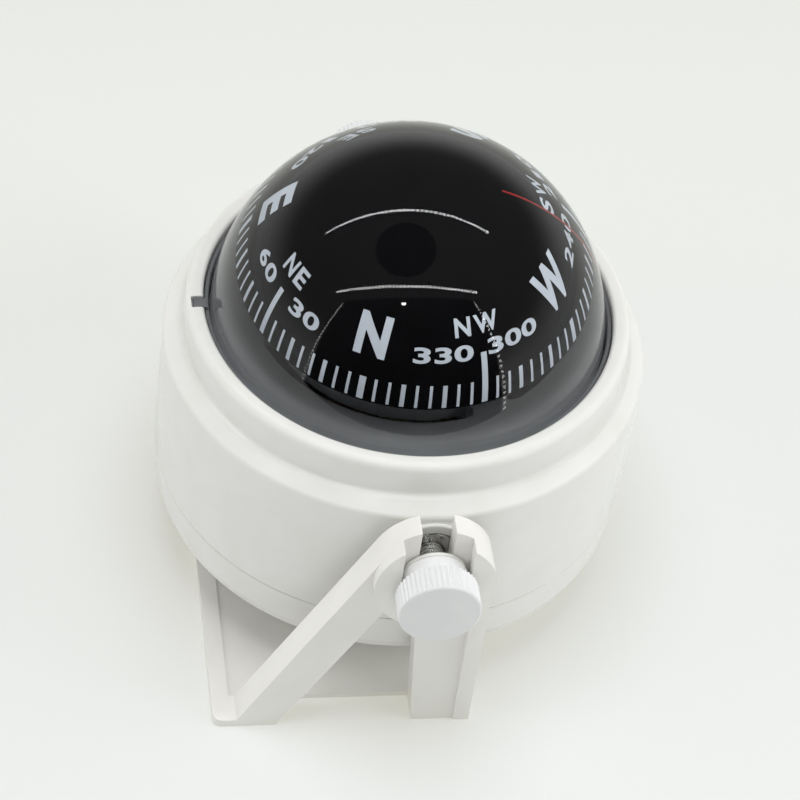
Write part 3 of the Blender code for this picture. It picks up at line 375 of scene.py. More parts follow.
def piece(name, mesh, paint, body, replaced=(), sharp=35.0):
    """Put a mesh in the scene as a piece that rides on a body."""
    made = added(name, mesh)
    mesh.materials.clear()
    mesh.materials.append(paint)
    mesh.shade_smooth()
    mesh.set_sharp_from_angle(angle=math.radians(sharp))
    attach(made, body)
    if replaced:
        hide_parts(*replaced)
    return made


def mesh_of(name, vertices, faces):
    """A mesh with its doubled points welded and its faces pointing out."""
    mesh = bpy.data.meshes.new(name)
    mesh.from_pydata(vertices, [], faces)
    shape = bmesh.new()
    shape.from_mesh(mesh)
    bmesh.ops.remove_doubles(shape, verts=shape.verts, dist=WELD_REACH)
    bmesh.ops.recalc_face_normals(shape, faces=shape.faces)
    shape.to_mesh(mesh)
    shape.free()
    return mesh


def rounded(corners, closed=True, bits=6):
    """An outline with round corners. A corner is its two coordinates and its radius."""
    points = []
    last = len(corners) - 1
    for i, (x, y, radius) in enumerate(corners):
        if radius == 0 or (not closed and i in (0, last)):
            points.append((x, y))
            continue
        here = Vector((x, y))
        back = Vector(corners[i - 1][:2]) - here
        ahead = Vector(corners[(i + 1) % len(corners)][:2]) - here
        half = back.angle(ahead) / 2
        reach = min(radius / math.tan(half), 0.49 * back.length, 0.49 * ahead.length)
        radius = reach * math.tan(half)
        inward = (back.normalized() + ahead.normalized()).normalized()
        middle = here + inward * (radius / math.sin(half))
        first = here + back.normalized() * reach - middle
        final = here + ahead.normalized() * reach - middle
        begin = math.atan2(first.y, first.x)
        swing = math.atan2(final.y, final.x) - begin
        swing = (swing + math.pi) % (2 * math.pi) - math.pi
        for k in range(bits + 1):
            turn = begin + swing * k / bits
            points.append((middle.x + radius * math.cos(turn), middle.y + radius * math.sin(turn)))
    return points


def arc(centre_x, centre_y, radius, start, stop, count):
    """Points on an arc, angles in degrees."""
    points = []
    for i in range(count + 1):
        turn = math.radians(start + (stop - start) * i / count)
        points.append((centre_x + radius * math.cos(turn), centre_y + radius * math.sin(turn)))
    return points


def turned_mesh(name, profile, steps=ROUND, closed=True, shape=None):
    """A solid of revolution about Z. shape may change a point's radius with its place and turn."""
    vertices = []
    for i in range(steps):
        turn = 2 * math.pi * i / steps
        for r, z in profile:
            wide = shape(r, z, turn) if shape else r
            vertices.append((wide * math.cos(turn), wide * math.sin(turn), z))
    count = len(profile)
    faces = []
    for i in range(steps):
        here = i * count
        there = ((i + 1) % steps) * count
        for k in range(count if closed else count - 1):
            after = (k + 1) % count
            faces.append((here + k, there + k, there + after, here + after))
    return mesh_of(name, vertices, faces)


def cylinder_mesh(name, start, end, radius, steps=SMALL):
    """A closed cylinder between two points."""
    mesh = bpy.data.meshes.new(name)
    shape = bmesh.new()
    start = Vector(start)
    end = Vector(end)
    way = end - start
    place = Matrix.Translation((start + end) / 2) @ way.to_track_quat("Z", "Y").to_matrix().to_4x4()
    bmesh.ops.create_cone(
        shape, cap_ends=True, segments=steps, radius1=radius, radius2=radius, depth=way.length, matrix=place
    )
    shape.to_mesh(mesh)
    shape.free()
    return mesh


def box_mesh(name, low, high):
    """A block between two corners."""
    mesh = bpy.data.meshes.new(name)
    shape = bmesh.new()
    bmesh.ops.create_cube(shape, size=1.0)
    bmesh.ops.scale(shape, vec=Vector(high) - Vector(low), verts=shape.verts)
    bmesh.ops.translate(shape, vec=(Vector(high) + Vector(low)) / 2, verts=shape.verts)
    shape.to_mesh(mesh)
    shape.free()
    return mesh


def prism(name, front, back):
    """A closed solid between two outlines that have as many points each."""
    count = len(front)
    faces = [tuple(range(count)), tuple(range(2 * count - 1, count - 1, -1))]
    faces += [(k, k + count, (k + 1) % count + count, (k + 1) % count) for k in range(count)]
    return mesh_of(name, front + back, faces)


def upright_plate(name, points, low_y, high_y):
    """A flat plate that stands in the XZ plane, from an outline of x and z."""
    return prism(name, [(x, low_y, z) for x, z in points], [(x, high_y, z) for x, z in points])


def combined(mesh, steps, bevel=0.0, angle=35.0):
    """A mesh after a list of Booleans, and a bevel on its edges if one is asked for."""
    body = added(mesh.name + "_body", mesh)
    tools = []
    for operation, other in steps:
        tool = added(other.name, other)
        tools.append(tool)
        change = body.modifiers.new(other.name, "BOOLEAN")
        change.operation = operation
        change.solver = "EXACT"
        change.object = tool
    if bevel:
        edge = body.modifiers.new("edge", "BEVEL")
        edge.width = bevel
        edge.segments = 3
        edge.limit_method = "ANGLE"
        edge.angle_limit = math.radians(angle)
    made = evaluated_mesh(body)
    for thing in tools + [body]:
        bpy.data.objects.remove(thing)
    return made


def on_tilt_axis(mesh, side):
    """Turn a mesh made along Z so that its top points out along the tilt axis, on one side."""
    lift = Matrix.Translation((0, 0, TILT_AXIS_Z))
    mesh.transform(lift @ Matrix.Rotation(-side * math.pi / 2, 4, "X"))
    return mesh


# Bracket


def arm_outline():
    """The A-shaped arm seen along Y: strut, boss and leg in one outline, x and z."""
    right = BRACKET_HIGH[0]
    left = BRACKET_LOW[0]
    points = [(left, 0.0), (left, RAIL_TOP), (STRUT_TOP_FOOT_X + RAIL_TOP / STRUT_SLOPE, RAIL_TOP)]
    strut_turn = 90.0 + math.degrees(math.atan(STRUT_SLOPE))
    points += arc(0.0, TILT_AXIS_Z, BOSS_RADIUS, strut_turn, 0.0, 36)
    points += [(right, 0.0), (LEG_LEFT_FOOT_X, 0.0)]
    points += arc(0.0, TILT_AXIS_Z, BOSS_RADIUS, LEG_BOSS_TURN, STRUT_BOSS_TURN, 8)
    points += [(STRUT_LOW_FOOT_X, 0.0)]
    return points


def slot_outline(width):
    """An upright slot, open at the top and round at the tilt axis, x and z."""
    top = TILT_AXIS_Z + 2 * BOSS_RADIUS
    return [(width / 2, top), (-width / 2, top)] + arc(0.0, TILT_AXIS_Z, width / 2, 180.0, 360.0, 24)


def leg_recess(side):
    """A cutter for the leg's outer face, which leaves a sloped web and a flange at its right."""
    section = [
        (ARM_OUTER_Y + MM, -MM),
        (ARM_OUTER_Y + MM, LEG_RECESS_TOP_Z),
        (ARM_OUTER_Y - LEG_RECESS_TOP, LEG_RECESS_TOP_Z),
        (ARM_OUTER_Y - LEG_RECESS_FOOT, -MM),
    ]
    left, right = ([(x, side * y, z) for y, z in section] for x in (LEG_RECESS_LEFT, LEG_FLANGE_X))
    return prism(f"recess_{side}", left, right)


def foot_corner(side):
    """A cutter that rounds the strut foot's outer corner in plan."""
    left, edge = BRACKET_LOW[0], ARM_OUTER_Y
    outline = [(left - MM, edge + MM), (left - MM, edge - FOOT_CORNER)]
    outline += arc(left + FOOT_CORNER, edge - FOOT_CORNER, FOOT_CORNER, 180.0, 90.0, 10)
    outline += [(left + FOOT_CORNER, edge + MM)]
    low, high = ([(x, side * y, z) for x, y in outline] for z in (-MM, 2 * RAIL_TOP))
    return prism(f"corner_{side}", low, high)


def make_bracket():
    """Base plate and two slotted arms, moulded in one, with softened edges."""
    left, right = BRACKET_LOW[0], BRACKET_HIGH[0]
    outside = BRACKET_HIGH[1] + OVERLAP
    plate = box_mesh("plate", (left, -PLATE_HALF_Y, 0.0), (right, PLATE_HALF_Y, PLATE_THICK))
    rail = box_mesh("rail", (left, -RAIL_HALF_Y, 0.0), (left + RAIL_WIDTH, RAIL_HALF_Y, RAIL_TOP))
    steps = [("UNION", rail)]
    for side in (-1, 1):
        near, far = sorted((side * ARM_INNER_Y, side * ARM_OUTER_Y))
        steps.append(("UNION", upright_plate(f"arm_{side}", arm_outline(), near, far)))
        for start, stop in ((left, STRUT_LOW_FOOT_X), (LEG_LEFT_FOOT_X, right)):
            low, high = sorted((side * (PLATE_HALF_Y - OVERLAP), side * (ARM_INNER_Y + OVERLAP)))
            steps.append(("UNION", box_mesh(f"foot_{side}", (start, low, 0.0), (stop, high, PLATE_THICK))))
        inner = (0.0, side * (ARM_INNER_Y + MM), TILT_AXIS_Z)
        outer = (0.0, side * BRACKET_HIGH[1], TILT_AXIS_Z)
        boss = cylinder_mesh(f"boss_{side}", inner, outer, BOSS_RADIUS - BOSS_SHRINK, 96)
        steps.append(("UNION", boss))
        low, high = sorted((side * (ARM_INNER_Y - OVERLAP), side * outside))
        slot = upright_plate(f"slot_{side}", slot_outline(SLOT_WIDTH), low, high)
        steps.append(("DIFFERENCE", slot))
        low, high = sorted((side * COUNTERBORE_FLOOR_Y, side * outside))
        bore = upright_plate(f"bore_{side}", slot_outline(COUNTERBORE_WIDTH), low, high)
        steps.append(("DIFFERENCE", bore))
        steps.append(("DIFFERENCE", leg_recess(side)))
        steps.append(("DIFFERENCE", foot_corner(side)))
    for i, (x, y) in enumerate(BASE_HOLES):
        hole = cylinder_mesh(f"hole_{i}", (x, y, -MM), (x, y, 5 * MM), BASE_HOLE_RADIUS, 32)
        steps.append(("DIFFERENCE", hole))
    mesh = combined(plate, steps, bevel=MOULD_EDGE)
    piece("bracket_moulding", mesh, FRAME_WHITE, "bracket", ["bracket"], sharp=50.0)


# Housing


def post_places():
    """Where the housing's four screw posts stand, x and y."""
    turns = [math.radians(45.0 + 90.0 * i) for i in range(4)]
    return [(POST_RING_RADIUS * math.cos(turn), POST_RING_RADIUS * math.sin(turn)) for turn in turns]


def make_upper_housing():
    """White housing with its rolled lip, valley, shoulder and long wall."""
    wall = WALL_RADIUS
    top = LIP_TOP_Z
    corners = [  # radius, height, corner radius
        (46.95 * MM, top, 0.9 * MM),
        (51.0 * MM, top, 2.0 * MM),
        (51.0 * MM, 63.6 * MM, 1.2 * MM),
        (52.4 * MM, 63.2 * MM, 0.9 * MM),
        (wall, 60.7 * MM, 1.6 * MM),
        (wall, SEAM_Z, 0.35 * MM),
        (wall - WALL_THICK, SEAM_Z, 0.0),
        (wall - WALL_THICK, 58.5 * MM, 0.0),
        (49.4 * MM, 58.5 * MM, 0.0),
        (49.4 * MM, 67.2 * MM, 0.0),
        (46.95 * MM, 67.2 * MM, 0.0),
    ]
    shell = turned_mesh("housing_shell", rounded(corners))
    notch = box_mesh("notch", (-49.8 * MM, -0.75 * MM, 70.0 * MM), (-40 * MM, 2.75 * MM, 80 * MM))
    mesh = combined(shell, [("DIFFERENCE", notch)])
    piece("upper_housing_shell", mesh, WHITE, "housing", ["upper_housing"], sharp=40.0)


def make_pivot_pads():
    """Round pads on the wall that the friction washers bear on, and their inner bosses."""
    for side, word in SIDES:
        corners = [
            (PAD_RADIUS, PAD_ROOT_Y, 0.0),
            (PAD_RADIUS, PAD_Y, 1.2 * MM),
            (PAD_BORE, PAD_Y, 0.2 * MM),
            (PAD_BORE, 47.6 * MM, 0.0),
            (6.2 * MM, 47.6 * MM, 0.0),
            (6.2 * MM, PAD_ROOT_Y, 0.0),
        ]
        mesh = on_tilt_axis(turned_mesh(f"pad_{word}", rounded(corners), SMALL), side)
        piece(f"pivot_pad_{word}", mesh, WHITE, "housing")


def make_screw_posts():
    """The housing's four inner posts, bored for the cover's screws."""
    corners = [
        (3.6 * MM, 39.0 * MM, 0.3 * MM),
        (3.6 * MM, 25.95 * MM, 0.0),
        (SCREW_BORE, 25.95 * MM, 0.0),
        (SCREW_BORE, 39.0 * MM, 0.0),
    ]
    for i, (x, y) in enumerate(post_places()):
        post = turned_mesh(f"post_{i}", rounded(corners), 32)
        post.transform(Matrix.Translation((x, y, 0.0)))
        piece(f"housing_post_{i}", post, WHITE, "housing")


def cover_hole(name, x, y, top, radius, steps):
    """A cut for a round hole that goes up into the cover from below."""
    return "DIFFERENCE", cylinder_mesh(name, (x, y, COVER_CUT_Z), (x, y, top), radius, steps)


def make_lower_housing():
    """White bottom cover with a tight corner, counterbored screw holes and two spindle holes."""
    top = COVER_HIGH[2]
    wall = COVER_HIGH[0]
    corners = [
        (wall, top, 0.35 * MM),
        (54.8 * MM, 17.0 * MM, 3.0 * MM),
        (54.0 * MM, 14.4 * MM, 1.6 * MM),
        (52.2 * MM, 12.7 * MM, 2.0 * MM),
        (30.0 * MM, BOTTOM_Z, 12.0 * MM),
        (0.0, BOTTOM_Z, 0.0),
        (0.0, BOTTOM_Z + 2.6 * MM, 0.0),
        (29.5 * MM, BOTTOM_Z + 2.6 * MM, 0.0),
        (50.4 * MM, 15.4 * MM, 1.5 * MM),
        (52.2 * MM, 17.4 * MM, 1.5 * MM),
        (wall - WALL_THICK, top, 0.0),
    ]
    shell = turned_mesh("cover_shell", rounded(corners), closed=False)
    steps = []
    for i, (x, y) in enumerate(post_places()):
        boss = cylinder_mesh(f"cover_boss_{i}", (x, y, 13.2 * MM), (x, y, top), 4.6 * MM, 40)
        steps.append(("UNION", boss))
    for i, (x, y) in enumerate(post_places()):
        steps.append(cover_hole(f"bore_{i}", x, y, 30 * MM, SCREW_BORE, 32))
        steps.append(cover_hole(f"sink_{i}", x, y, 15.4 * MM, 3.2 * MM, 40))
    for name in ("fore_aft_turn", "athwart_turn"):
        x, y, _ = JOINTS[name]["pos_m"]
        steps.append(cover_hole(name, x, y, 15 * MM, 2.3 * MM, 40))
    mesh = combined(shell, steps)
    piece("lower_housing_shell", mesh, WHITE, "housing", ["lower_housing"], sharp=40.0)


# Capsule


def make_clear_capsule():
    """The dome and the liquid as one clear solid, which bends what lies in it."""
    flange = DOME_HIGH[0]
    low = math.degrees(math.asin((FLANGE_TOP_Z - GIMBAL_Z) / DOME_RADIUS))
    profile = arc(0.0, GIMBAL_Z, DOME_RADIUS, 90.0, low, 64)
    profile += [(flange, FLANGE_TOP_Z), (flange, DOME_LOW[2])]
    inner = [(46.5, 64.6), (46.5, 62.0), (45.3, 60.5), (43.4, 48.9), (40.6, 43.2), (34.4, 37.7)]
    inner += [(24.5, 34.0), (19.0, 33.8), (15.0, 32.4), (0.0, 31.2)]
    profile += in_mm(inner)
    mesh = turned_mesh("capsule_solid", profile, closed=False)
    piece("clear_dome_and_liquid", mesh, CLEAR, "housing", ["dome"], sharp=40.0)


def make_clamp_ring():
    """Grey ring between the dome and the lip, with its keying lug."""
    low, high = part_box("dome_clamp_ring")
    outer = high[0]
    corners = [
        (45.75 * MM, low[2], 0.0),
        (45.75 * MM, RING_TOP_Z, 0.35 * MM),
        (outer, RING_TOP_Z, 0.35 * MM),
        (outer, low[2], 0.0),
    ]
    ring = turned_mesh("ring", rounded(corners))
    lug = box_mesh("lug", (low[0], -0.4 * MM, 70.3 * MM), (-46.2 * MM, 2.4 * MM, high[2]))
    root = box_mesh("root", (-46.6 * MM, -0.4 * MM, 69.0 * MM), (-46.0 * MM, 2.4 * MM, 71.0 * MM))
    mesh = combined(ring, [("UNION", lug), ("UNION", root)], bevel=0.12 * MM, angle=60.0)
    piece("dome_clamp_ring_fine", mesh, GREY, "housing", ["dome_clamp_ring"])


def make_lubber_line():
    """Red pointer that follows the inside of the dome."""
    radius = DOME_RADIUS - LUBBER_INSET
    curve = bpy.data.curves.new("lubber", "CURVE")
    curve.dimensions = "3D"
    curve.bevel_depth = LUBBER_RADIUS
    curve.bevel_resolution = 4
    curve.use_fill_caps = True
    line = curve.splines.new("POLY")
    route = [(41.9 * MM, 66.95 * MM)] + arc(0.0, GIMBAL_Z, radius, 4.0, 67.0, 60)
    line.points.add(len(route) - 1)
    for point, (r, z) in zip(line.points, route):
        point.co = (r, 0.0, z, 1.0)
    guide = added("lubber", curve)
    mesh = evaluated_mesh(guide)
    bpy.data.objects.remove(guide)
    piece("lubber_wire", mesh, RED, "housing", ["lubber_line"])


# Card


def on_card(bearing, elevation, across=0.0, up=0.0, height=0.0):
    """A point on the card: a bearing and elevation in degrees, then a shift across and up."""
    azimuth = NORTH_AZIMUTH - math.radians(bearing)
    tip = math.radians(elevation)
    level = math.cos(tip)
    out = Vector((math.sin(azimuth) * level, -math.cos(azimuth) * level, math.sin(tip)))
    right = Vector((math.cos(azimuth), math.sin(azimuth), 0.0))
    rise = right.cross(out) * -1.0
    way = (out * CARD_RADIUS + right * across + rise * up).normalized()
    return Vector((0.0, 0.0, CARD_CENTRE_Z)) + way * (CARD_RADIUS + height)


def make_card():
    """Black hemispherical dial with a rolled rim."""
    inner = CARD_RADIUS - 1.0 * MM
    profile = arc(0.0, CARD_CENTRE_Z, CARD_RADIUS, 90.0, 1.0, 60)
    profile += arc(CARD_RADIUS - 0.5 * MM, CARD_CENTRE_Z + 0.5 * MM, 0.5 * MM, 0.0, -180.0, 8)
    profile += arc(0.0, CARD_CENTRE_Z, inner, 1.0, 90.0, 40)
    mesh = turned_mesh("card", profile, closed=False)
    piece("card_shell", mesh, DIAL, "card", ["compass_card"], sharp=60.0)


def make_scale():
    """Printed degree scale: a mark each 5 degrees, long ones at the half-winds."""
    vertices = []
    faces = []
    for step in range(72):
        bearing = step * 5
        top, width = TICK_TOP, TICK_WIDTH * MM
        if bearing % 15 == 0:
            width = TICK_15_WIDTH * MM
        if bearing % 90 == 0:
            width = TICK_90_WIDTH * MM
        if bearing % 90 == 45:
            top, width = HALF_WIND_TICK_TOP, HALF_WIND_TICK_WIDTH * MM
        first = len(vertices)
        for row in range(TICK_ROWS + 1):
            elevation = TICK_LOW + (top - TICK_LOW) * row / TICK_ROWS
            for across in (-width / 2, width / 2):
                vertices.append(on_card(bearing, elevation, across, 0.0, PRINT_HEIGHT))
        for row in range(TICK_ROWS):
            here = first + 2 * row
            faces.append((here, here + 1, here + 3, here + 2))
    mesh = bpy.data.meshes.new("scale")
    mesh.from_pydata(vertices, [], faces)
    piece("card_degree_scale", mesh, PRINT, "card")


def glyph_mesh(letter, weight):
    """A flat mesh of one letter or digit, cut into a fine grid, in a unit box."""
    text = bpy.data.curves.new("glyph", "FONT")
    text.body = letter
    text.offset = weight
    text.resolution_u = 8
    guide = added("glyph", text)
    mesh = evaluated_mesh(guide)
    bpy.data.objects.remove(guide)
    xs = [v.co.x for v in mesh.vertices]
    ys = [v.co.y for v in mesh.vertices]
    wide, tall = max(xs) - min(xs), max(ys) - min(ys)
    for v in mesh.vertices:
        v.co.x = (v.co.x - (max(xs) + min(xs)) / 2) / wide
        v.co.y = (v.co.y - (max(ys) + min(ys)) / 2) / tall
    shape = bmesh.new()
    shape.from_mesh(mesh)
    for axis in range(2):
        for i in range(1, GLYPH_GRID):
            place = [0.0, 0.0, 0.0]
            way = [0.0, 0.0, 0.0]
            place[axis] = -0.5 + i / GLYPH_GRID
            way[axis] = 1.0
            everything = shape.verts[:] + shape.edges[:] + shape.faces[:]
            bmesh.ops.bisect_plane(shape, geom=everything, plane_co=place, plane_no=way)
    shape.to_mesh(mesh)
    shape.free()
    return mesh


def letter_specs():
    """Each printed letter or digit: its text, bearing, elevation, width, height and weight."""
    specs = [(*cardinal, CARDINAL_WEIGHT) for cardinal in CARDINALS]
    for name, bearing, tip in HALF_WINDS:
        first, second = (HALF_WIND_WIDTHS[letter] for letter in name)
        total = first + HALF_WIND_GAP + second
        turn = math.degrees(1.0 / (CARD_RADIUS / MM * math.cos(math.radians(tip))))
        for letter, width, way in ((name[0], first, 1.0), (name[1], second, -1.0)):
            place = bearing + way * (total - width) / 2 * turn
            specs.append((letter, place, tip, width, HALF_WIND_HEIGHT, SMALL_WEIGHT))
    for number, bearing, tip in NUMBERS:
        digits = str(number)
        for i, digit in enumerate(digits):
            shift = (len(digits) - 1) / 2 - i
            width = DIGIT_WIDTHS.get(digit, DIGIT_WIDTH)
            specs.append((digit, bearing + DIGIT_STEP * shift, tip, width, DIGIT_HEIGHT, SMALL_WEIGHT))
    return specs


def make_lettering():
    """Printed cardinal letters and degree numbers, laid on the card's curve."""
    whole = bmesh.new()
    for letter, bearing, elevation, width, height, weight in letter_specs():
        flat = glyph_mesh(letter, weight)
        for v in flat.vertices:
            v.co = on_card(bearing, elevation, v.co.x * width * MM, v.co.y * height * MM, PRINT_HEIGHT)
        whole.from_mesh(flat)
        bpy.data.meshes.remove(flat)
    mesh = bpy.data.meshes.new("lettering")
    whole.to_mesh(mesh)
    whole.free()
    piece("card_lettering", mesh, PRINT, "card")


# Clamp knobs


def make_knobs():
    """Knurled thumb knobs with plain collars, on both sides."""

    def knurl(r, z, turn):
        """The nub bulges out of the collar, and the knurls cut into the knob's rim."""
        if abs(z - NUB_Y) < 0.01 * MM:
            return r + NUB_HEIGHT * math.exp(-(((turn - math.pi / 2) * r / NUB_HALF) ** 2))
        if r < KNURL_FOOT or z > KNOB_FACE_Y - KNURL_FACE_GAP:
            return r
        return r - KNURL_DEPTH * (0.5 - 0.5 * math.cos(KNURLS * turn)) ** 0.7

    corners = [
        (0.0, KNOB_FACE_Y, 0.0),
        (KNOB_RADIUS, KNOB_FACE_Y, 0.7 * MM),
        (KNOB_RADIUS, KNOB_BACK_Y, 0.5 * MM),
        (COLLAR_RADIUS, KNOB_BACK_Y, 0.3 * MM),
        (COLLAR_RADIUS, NUB_Y + NUB_HALF, 0.0),
        (COLLAR_RADIUS, NUB_Y, 0.0),
        (COLLAR_RADIUS, NUB_Y - NUB_HALF, 0.0),
        (COLLAR_RADIUS, COLLAR_END_Y, 0.3 * MM),
        (STUD_BORE, COLLAR_END_Y, 0.2 * MM),
        (STUD_BORE, KNOB_FACE_Y - KNOB_RECESS, 0.0),
        (0.0, KNOB_FACE_Y - KNOB_RECESS, 0.0),
    ]
    for side, word in SIDES:
        mesh = turned_mesh(f"knob_{word}", rounded(corners, closed=False), KNURLS * 8, False, knurl)
        mesh = on_tilt_axis(mesh, side)
        node = f"thumb_knob_{word}"
        piece(f"knurled_knob_{word}", mesh, KNOB_WHITE, f"{word}_knob", [node], sharp=45.0)


def make_studs():
    """Threaded steel studs."""
    root = THREAD_RADIUS - THREAD_DEPTH
    start, end = STUD_START_Y, STUD_END_Y
    around = 48
    rows = int((end - start) / THREAD_PITCH * THREAD_ROWS)
    for side, word in SIDES:
        vertices = []
        for row in range(rows + 1):
            z = start + (end - start) * row / rows
            for k in range(around):
                turn = 2 * math.pi * k / around
                phase = (z / THREAD_PITCH - side * k / around) % 1.0
                crest = min(1.0, max(0.0, 1.5 - 3.2 * abs(phase - 0.5)))
                r = root + (THREAD_RADIUS - root) * crest
                vertices.append((r * math.cos(turn), r * math.sin(turn), z))
        faces = [tuple(range(around - 1, -1, -1)), tuple(range(rows * around, (rows + 1) * around))]
        for row in range(rows):
            for k in range(around):
                here, after = row * around + k, row * around + (k + 1) % around
                faces.append((here, after, after + around, here + around))
        mesh = on_tilt_axis(mesh_of(f"stud_{word}", vertices, faces), side)
        node = f"knob_stud_{word}"
        piece(f"threaded_stud_{word}", mesh, STEEL, f"{word}_knob", [node], sharp=50.0)


def make_inserts():
    """Turned steel inserts with a rounded flange, in the housing's pads."""
    corners = [
        (3.3 * MM, 57.0 * MM, 0.25 * MM),
        (6.2 * MM, 57.0 * MM, 0.35 * MM),
        (6.2 * MM, 56.1 * MM, 0.1 * MM),
        (4.6 * MM, 56.1 * MM, 0.0),
        (4.6 * MM, 48.2 * MM, 0.3 * MM),
        (3.3 * MM, 48.2 * MM, 0.2 * MM),
    ]
    for side, word in SIDES:
        mesh = on_tilt_axis(turned_mesh(f"insert_{word}", rounded(corners), SMALL), side)
        piece(f"flanged_insert_{word}", mesh, STEEL, "housing", [f"pivot_insert_{word}"])


def make_washers():
    """Nylon thrust and friction washers with soft edges."""
    thrust = [(3.25, 64.0, 0.1), (7.3, 64.0, 0.15), (7.3, 63.0, 0.15), (3.25, 63.0, 0.1)]
    friction = [(6.6, 57.05, 0.15), (9.1, 57.05, 0.45), (9.1, 56.1, 0.25), (6.6, 56.1, 0.15)]
    for side, word in SIDES:
        kinds = (("thrust", thrust, f"{word}_thrust"), ("friction", friction, "carriage"))
        for kind, corners, body in kinds:
            mesh = on_tilt_axis(turned_mesh(f"{kind}_{word}", rounded(in_mm(corners)), 96), side)
            piece(f"{kind}_washer_{word}_fine", mesh, NYLON, body, [f"{kind}_washer_{word}"])


def finish_cad_nodes():
    """Give the CAD nodes that stay visible their own finish."""
    finishes = {
        "steel": STEEL,
        "brass": BRASS,
        "magnet": MAGNET,
        "rubber": RUBBER,
        "black_plastic": BLACK,
        "grey_plastic": GREY,
        "float_foam": FOAM,
        "white_plastic": WHITE,
        "nylon": NYLON,
        "dial_black": DIAL,
        "red_line": RED,
        "clear_dome": CLEAR,
    }
    slots = {entry["node"]: entry["material_slot"] for entry in frame["record"]["subparts"]}
    for node, thing in frame["nodes"].items():
        for place in thing.material_slots:
            place.material = finishes[slots[node]]


# Stage


def stage_material(name, colour, light=0.0):
    """A plain matt surface that may glow in its own colour."""
    made, shader = shader_of(name)
    shader.inputs["Base Color"].default_value = (*colour, 1.0)
    shader.inputs["Roughness"].default_value = 0.9
    if light:
        shader.inputs["Emission Color"].default_value = (*colour, 1.0)
        shader.inputs["Emission Strength"].default_value = light
    return made


def floor_material():
    """White paper, a little less blue behind the compass. Its own light fills the shadows."""
    made, shader = shader_of("paper")
    tree = made.node_tree
    place = tree.nodes.new("ShaderNodeTexCoord")
    split = tree.nodes.new("ShaderNodeSeparateXYZ")
    tree.links.new(place.outputs["Object"], split.inputs["Vector"])
    behind = tree.nodes.new("ShaderNodeMapRange")
    behind.interpolation_type = "SMOOTHSTEP"
    behind.inputs["From Min"].default_value = 60 * MM
    behind.inputs["From Max"].default_value = 95 * MM
    tree.links.new(split.outputs["Y"], behind.inputs["Value"])
    mix = tree.nodes.new("ShaderNodeMix")
    mix.data_type = "RGBA"
    mix.inputs["A"].default_value = (0.50, 0.535, 0.595, 1.0)
    mix.inputs["B"].default_value = (0.50, 0.54, 0.58, 1.0)
    tree.links.new(behind.outputs["Result"], mix.inputs["Factor"])
    tree.links.new(mix.outputs["Result"], shader.inputs["Base Color"])
    shader.inputs["Roughness"].default_value = 0.9
    reach = tree.nodes.new("ShaderNodeVectorMath")
    reach.operation = "LENGTH"
    tree.links.new(place.outputs["Object"], reach.inputs[0])
    far = tree.nodes.new("ShaderNodeMapRange")
    far.interpolation_type = "SMOOTHSTEP"
    far.inputs["From Min"].default_value = FLOOR_GLOW_FROM
    far.inputs["From Max"].default_value = FLOOR_GLOW_TO
    tree.links.new(reach.outputs["Value"], far.inputs["Value"])
    glow = tree.nodes.new("ShaderNodeMix")
    glow.data_type = "RGBA"
    glow.inputs["A"].default_value = (*FLOOR_NEAR_GLOW, 1.0)
    glow.inputs["B"].default_value = (*FLOOR_FAR_GLOW, 1.0)
    tree.links.new(far.outputs["Result"], glow.inputs["Factor"])
    tree.links.new(glow.outputs["Result"], shader.inputs["Emission Color"])
    shader.inputs["Emission Strength"].default_value = 1.0
    return made


def make_floor():
    """Wide flat sheet of white paper."""
    half = FLOOR_HALF
    floor = added("floor", box_mesh("floor", (-half, -half, -2 * MM), (half, half, -0.01 * MM)))
    floor.data.materials.append(floor_material())


def make_world():
    """Even white light from all round, as inside a light tent, with a darker top where it is mirrored."""
    world = bpy.data.worlds.new("tent")
    bpy.context.scene.world = world
    world.use_nodes = True
    tree = world.node_tree
    background = tree.nodes["Background"]
    background.inputs["Color"].default_value = (*WORLD_COLOUR, 1.0)
    place = tree.nodes.new("ShaderNodeTexCoord")
    split = tree.nodes.new("ShaderNodeSeparateXYZ")
    tree.links.new(place.outputs["Generated"], split.inputs["Vector"])
    mirrored = tree.nodes.new("ShaderNodeMapRange")
    mirrored.interpolation_type = "SMOOTHSTEP"
    mirrored.inputs["From Max"].default_value = WORLD_TOP_Z
    mirrored.inputs["To Min"].default_value = WORLD_SEEN
    mirrored.inputs["To Max"].default_value = WORLD_MIRRORED_TOP
    tree.links.new(split.outputs["Z"], mirrored.inputs["Value"])
    path = tree.nodes.new("ShaderNodeLightPath")
    mix = tree.nodes.new("ShaderNodeMix")
    mix.inputs["A"].default_value = WORLD_LIGHT
    tree.links.new(path.outputs["Is Glossy Ray"], mix.inputs["Factor"])
    tree.links.new(mirrored.outputs["Result"], mix.inputs["B"])
    seen = tree.nodes.new("ShaderNodeMix")
    seen.inputs["B"].default_value = WORLD_SEEN
    tree.links.new(path.outputs["Is Camera Ray"], seen.inputs["Factor"])
    tree.links.new(mix.outputs["Result"], seen.inputs["A"])
    tree.links.new(seen.outputs["Result"], background.inputs["Strength"])


def make_lamps():
    """A large soft lamp above and one on each side, not seen directly or in reflections."""
    for name, place, power in LAMPS:
        light = bpy.data.lights.new(name, "AREA")
        light.shape = "DISK"
        light.size = LAMP_SIZE
        light.energy = power
        lamp = added(name, light)
        lamp.location = place
        lamp.rotation_euler = (Vector(place) - Vector(LAMP_AIM)).to_track_quat("Z", "Y").to_euler()
        lamp.visible_camera = False
        lamp.visible_glossy = False


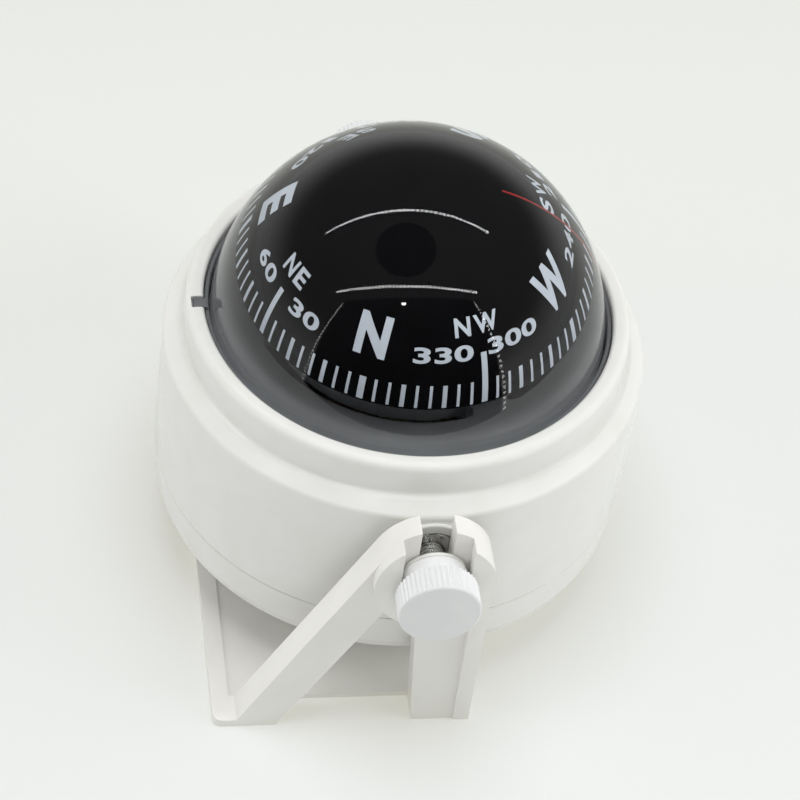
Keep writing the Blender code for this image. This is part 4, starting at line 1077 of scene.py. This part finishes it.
def mirrored_only(name, mesh, paint, place=(0.0, 0.0, 0.0)):
    """A part of the tent that shows only where it is mirrored."""
    made = added(name, mesh)
    made.location = place
    mesh.materials.append(paint)
    made.visible_camera = False
    made.visible_diffuse = False
    made.visible_shadow = False
    made.visible_transmission = False


def dotted_strip(name, start, end, count, size, light):
    """A row of small square lamps between two points, which the dome mirrors as a dotted line."""
    start, end = Vector(start), Vector(end)
    along = (end - start).normalized() * size / 2
    towards = (start + end) / 2 - Vector(DOME_MIDDLE)
    across = towards.cross(along).normalized() * size / 2
    vertices = []
    faces = []
    for i in range(count):
        middle = start.lerp(end, i / (count - 1))
        faces.append(tuple(range(4 * i, 4 * i + 4)))
        for shift in (-along - across, along - across, along + across, across - along):
            vertices.append(middle + shift)
    glow = stage_material(name, (1.0, 1.0, 1.0), light=light)
    mirrored_only(name, mesh_of(name, vertices, faces), glow)


def make_tent():
    """The tent's rows of lamps, the dark round hole in its top and its dark front."""
    for row in TENT_ROWS:
        dotted_strip(*row)
    dark = stage_material("tent_dark", (0.004, 0.004, 0.004))
    profile = [(0.0, HOLE_HIGH), (HOLE_RADIUS, HOLE_HIGH), (HOLE_RADIUS, HOLE_LOW), (0.0, HOLE_LOW)]
    mirrored_only("tent_hole", turned_mesh("hole", profile, SMALL, False), dark, HOLE_PLACE)
    corners = [(*FRONT_LEFT, 0.0), (*FRONT_RIGHT, 0.0)]
    corners += [(*FRONT_RIGHT, FRONT_HIGH), (*FRONT_LEFT, FRONT_HIGH)]
    mirrored_only("tent_front", mesh_of("front", corners, [(0, 1, 2, 3)]), dark)


def make_camera():
    """The camera stands in front, high up and a little to the left, and is rolled."""
    turn, tip = CAMERA_AZIMUTH, CAMERA_ELEVATION
    right = Vector((math.cos(turn), math.sin(turn), 0.0))
    back = Vector((math.sin(turn) * math.cos(tip), -math.cos(turn) * math.cos(tip), math.sin(tip)))
    up = back.cross(right)
    target = CAMERA_TARGET + right * CAMERA_SLIDE
    rolled_right = right * math.cos(CAMERA_ROLL) + up * math.sin(CAMERA_ROLL)
    rolled_up = up * math.cos(CAMERA_ROLL) - right * math.sin(CAMERA_ROLL)
    camera = added("camera", bpy.data.cameras.new("camera"))
    camera.data.lens = CAMERA_LENS
    axes = Matrix((rolled_right, rolled_up, back)).transposed().to_4x4()
    camera.matrix_world = Matrix.Translation(target + back * CAMERA_DISTANCE) @ axes
    bpy.context.scene.camera = camera


make_camera()
make_bracket()
make_upper_housing()
make_pivot_pads()
make_screw_posts()
make_lower_housing()
make_clear_capsule()
make_clamp_ring()
make_lubber_line()
make_card()
make_scale()
make_lettering()
make_knobs()
make_studs()
make_inserts()
make_washers()
finish_cad_nodes()
make_floor()
make_world()
make_lamps()
make_tent()

bpy.context.scene.view_settings.view_transform = "Standard"
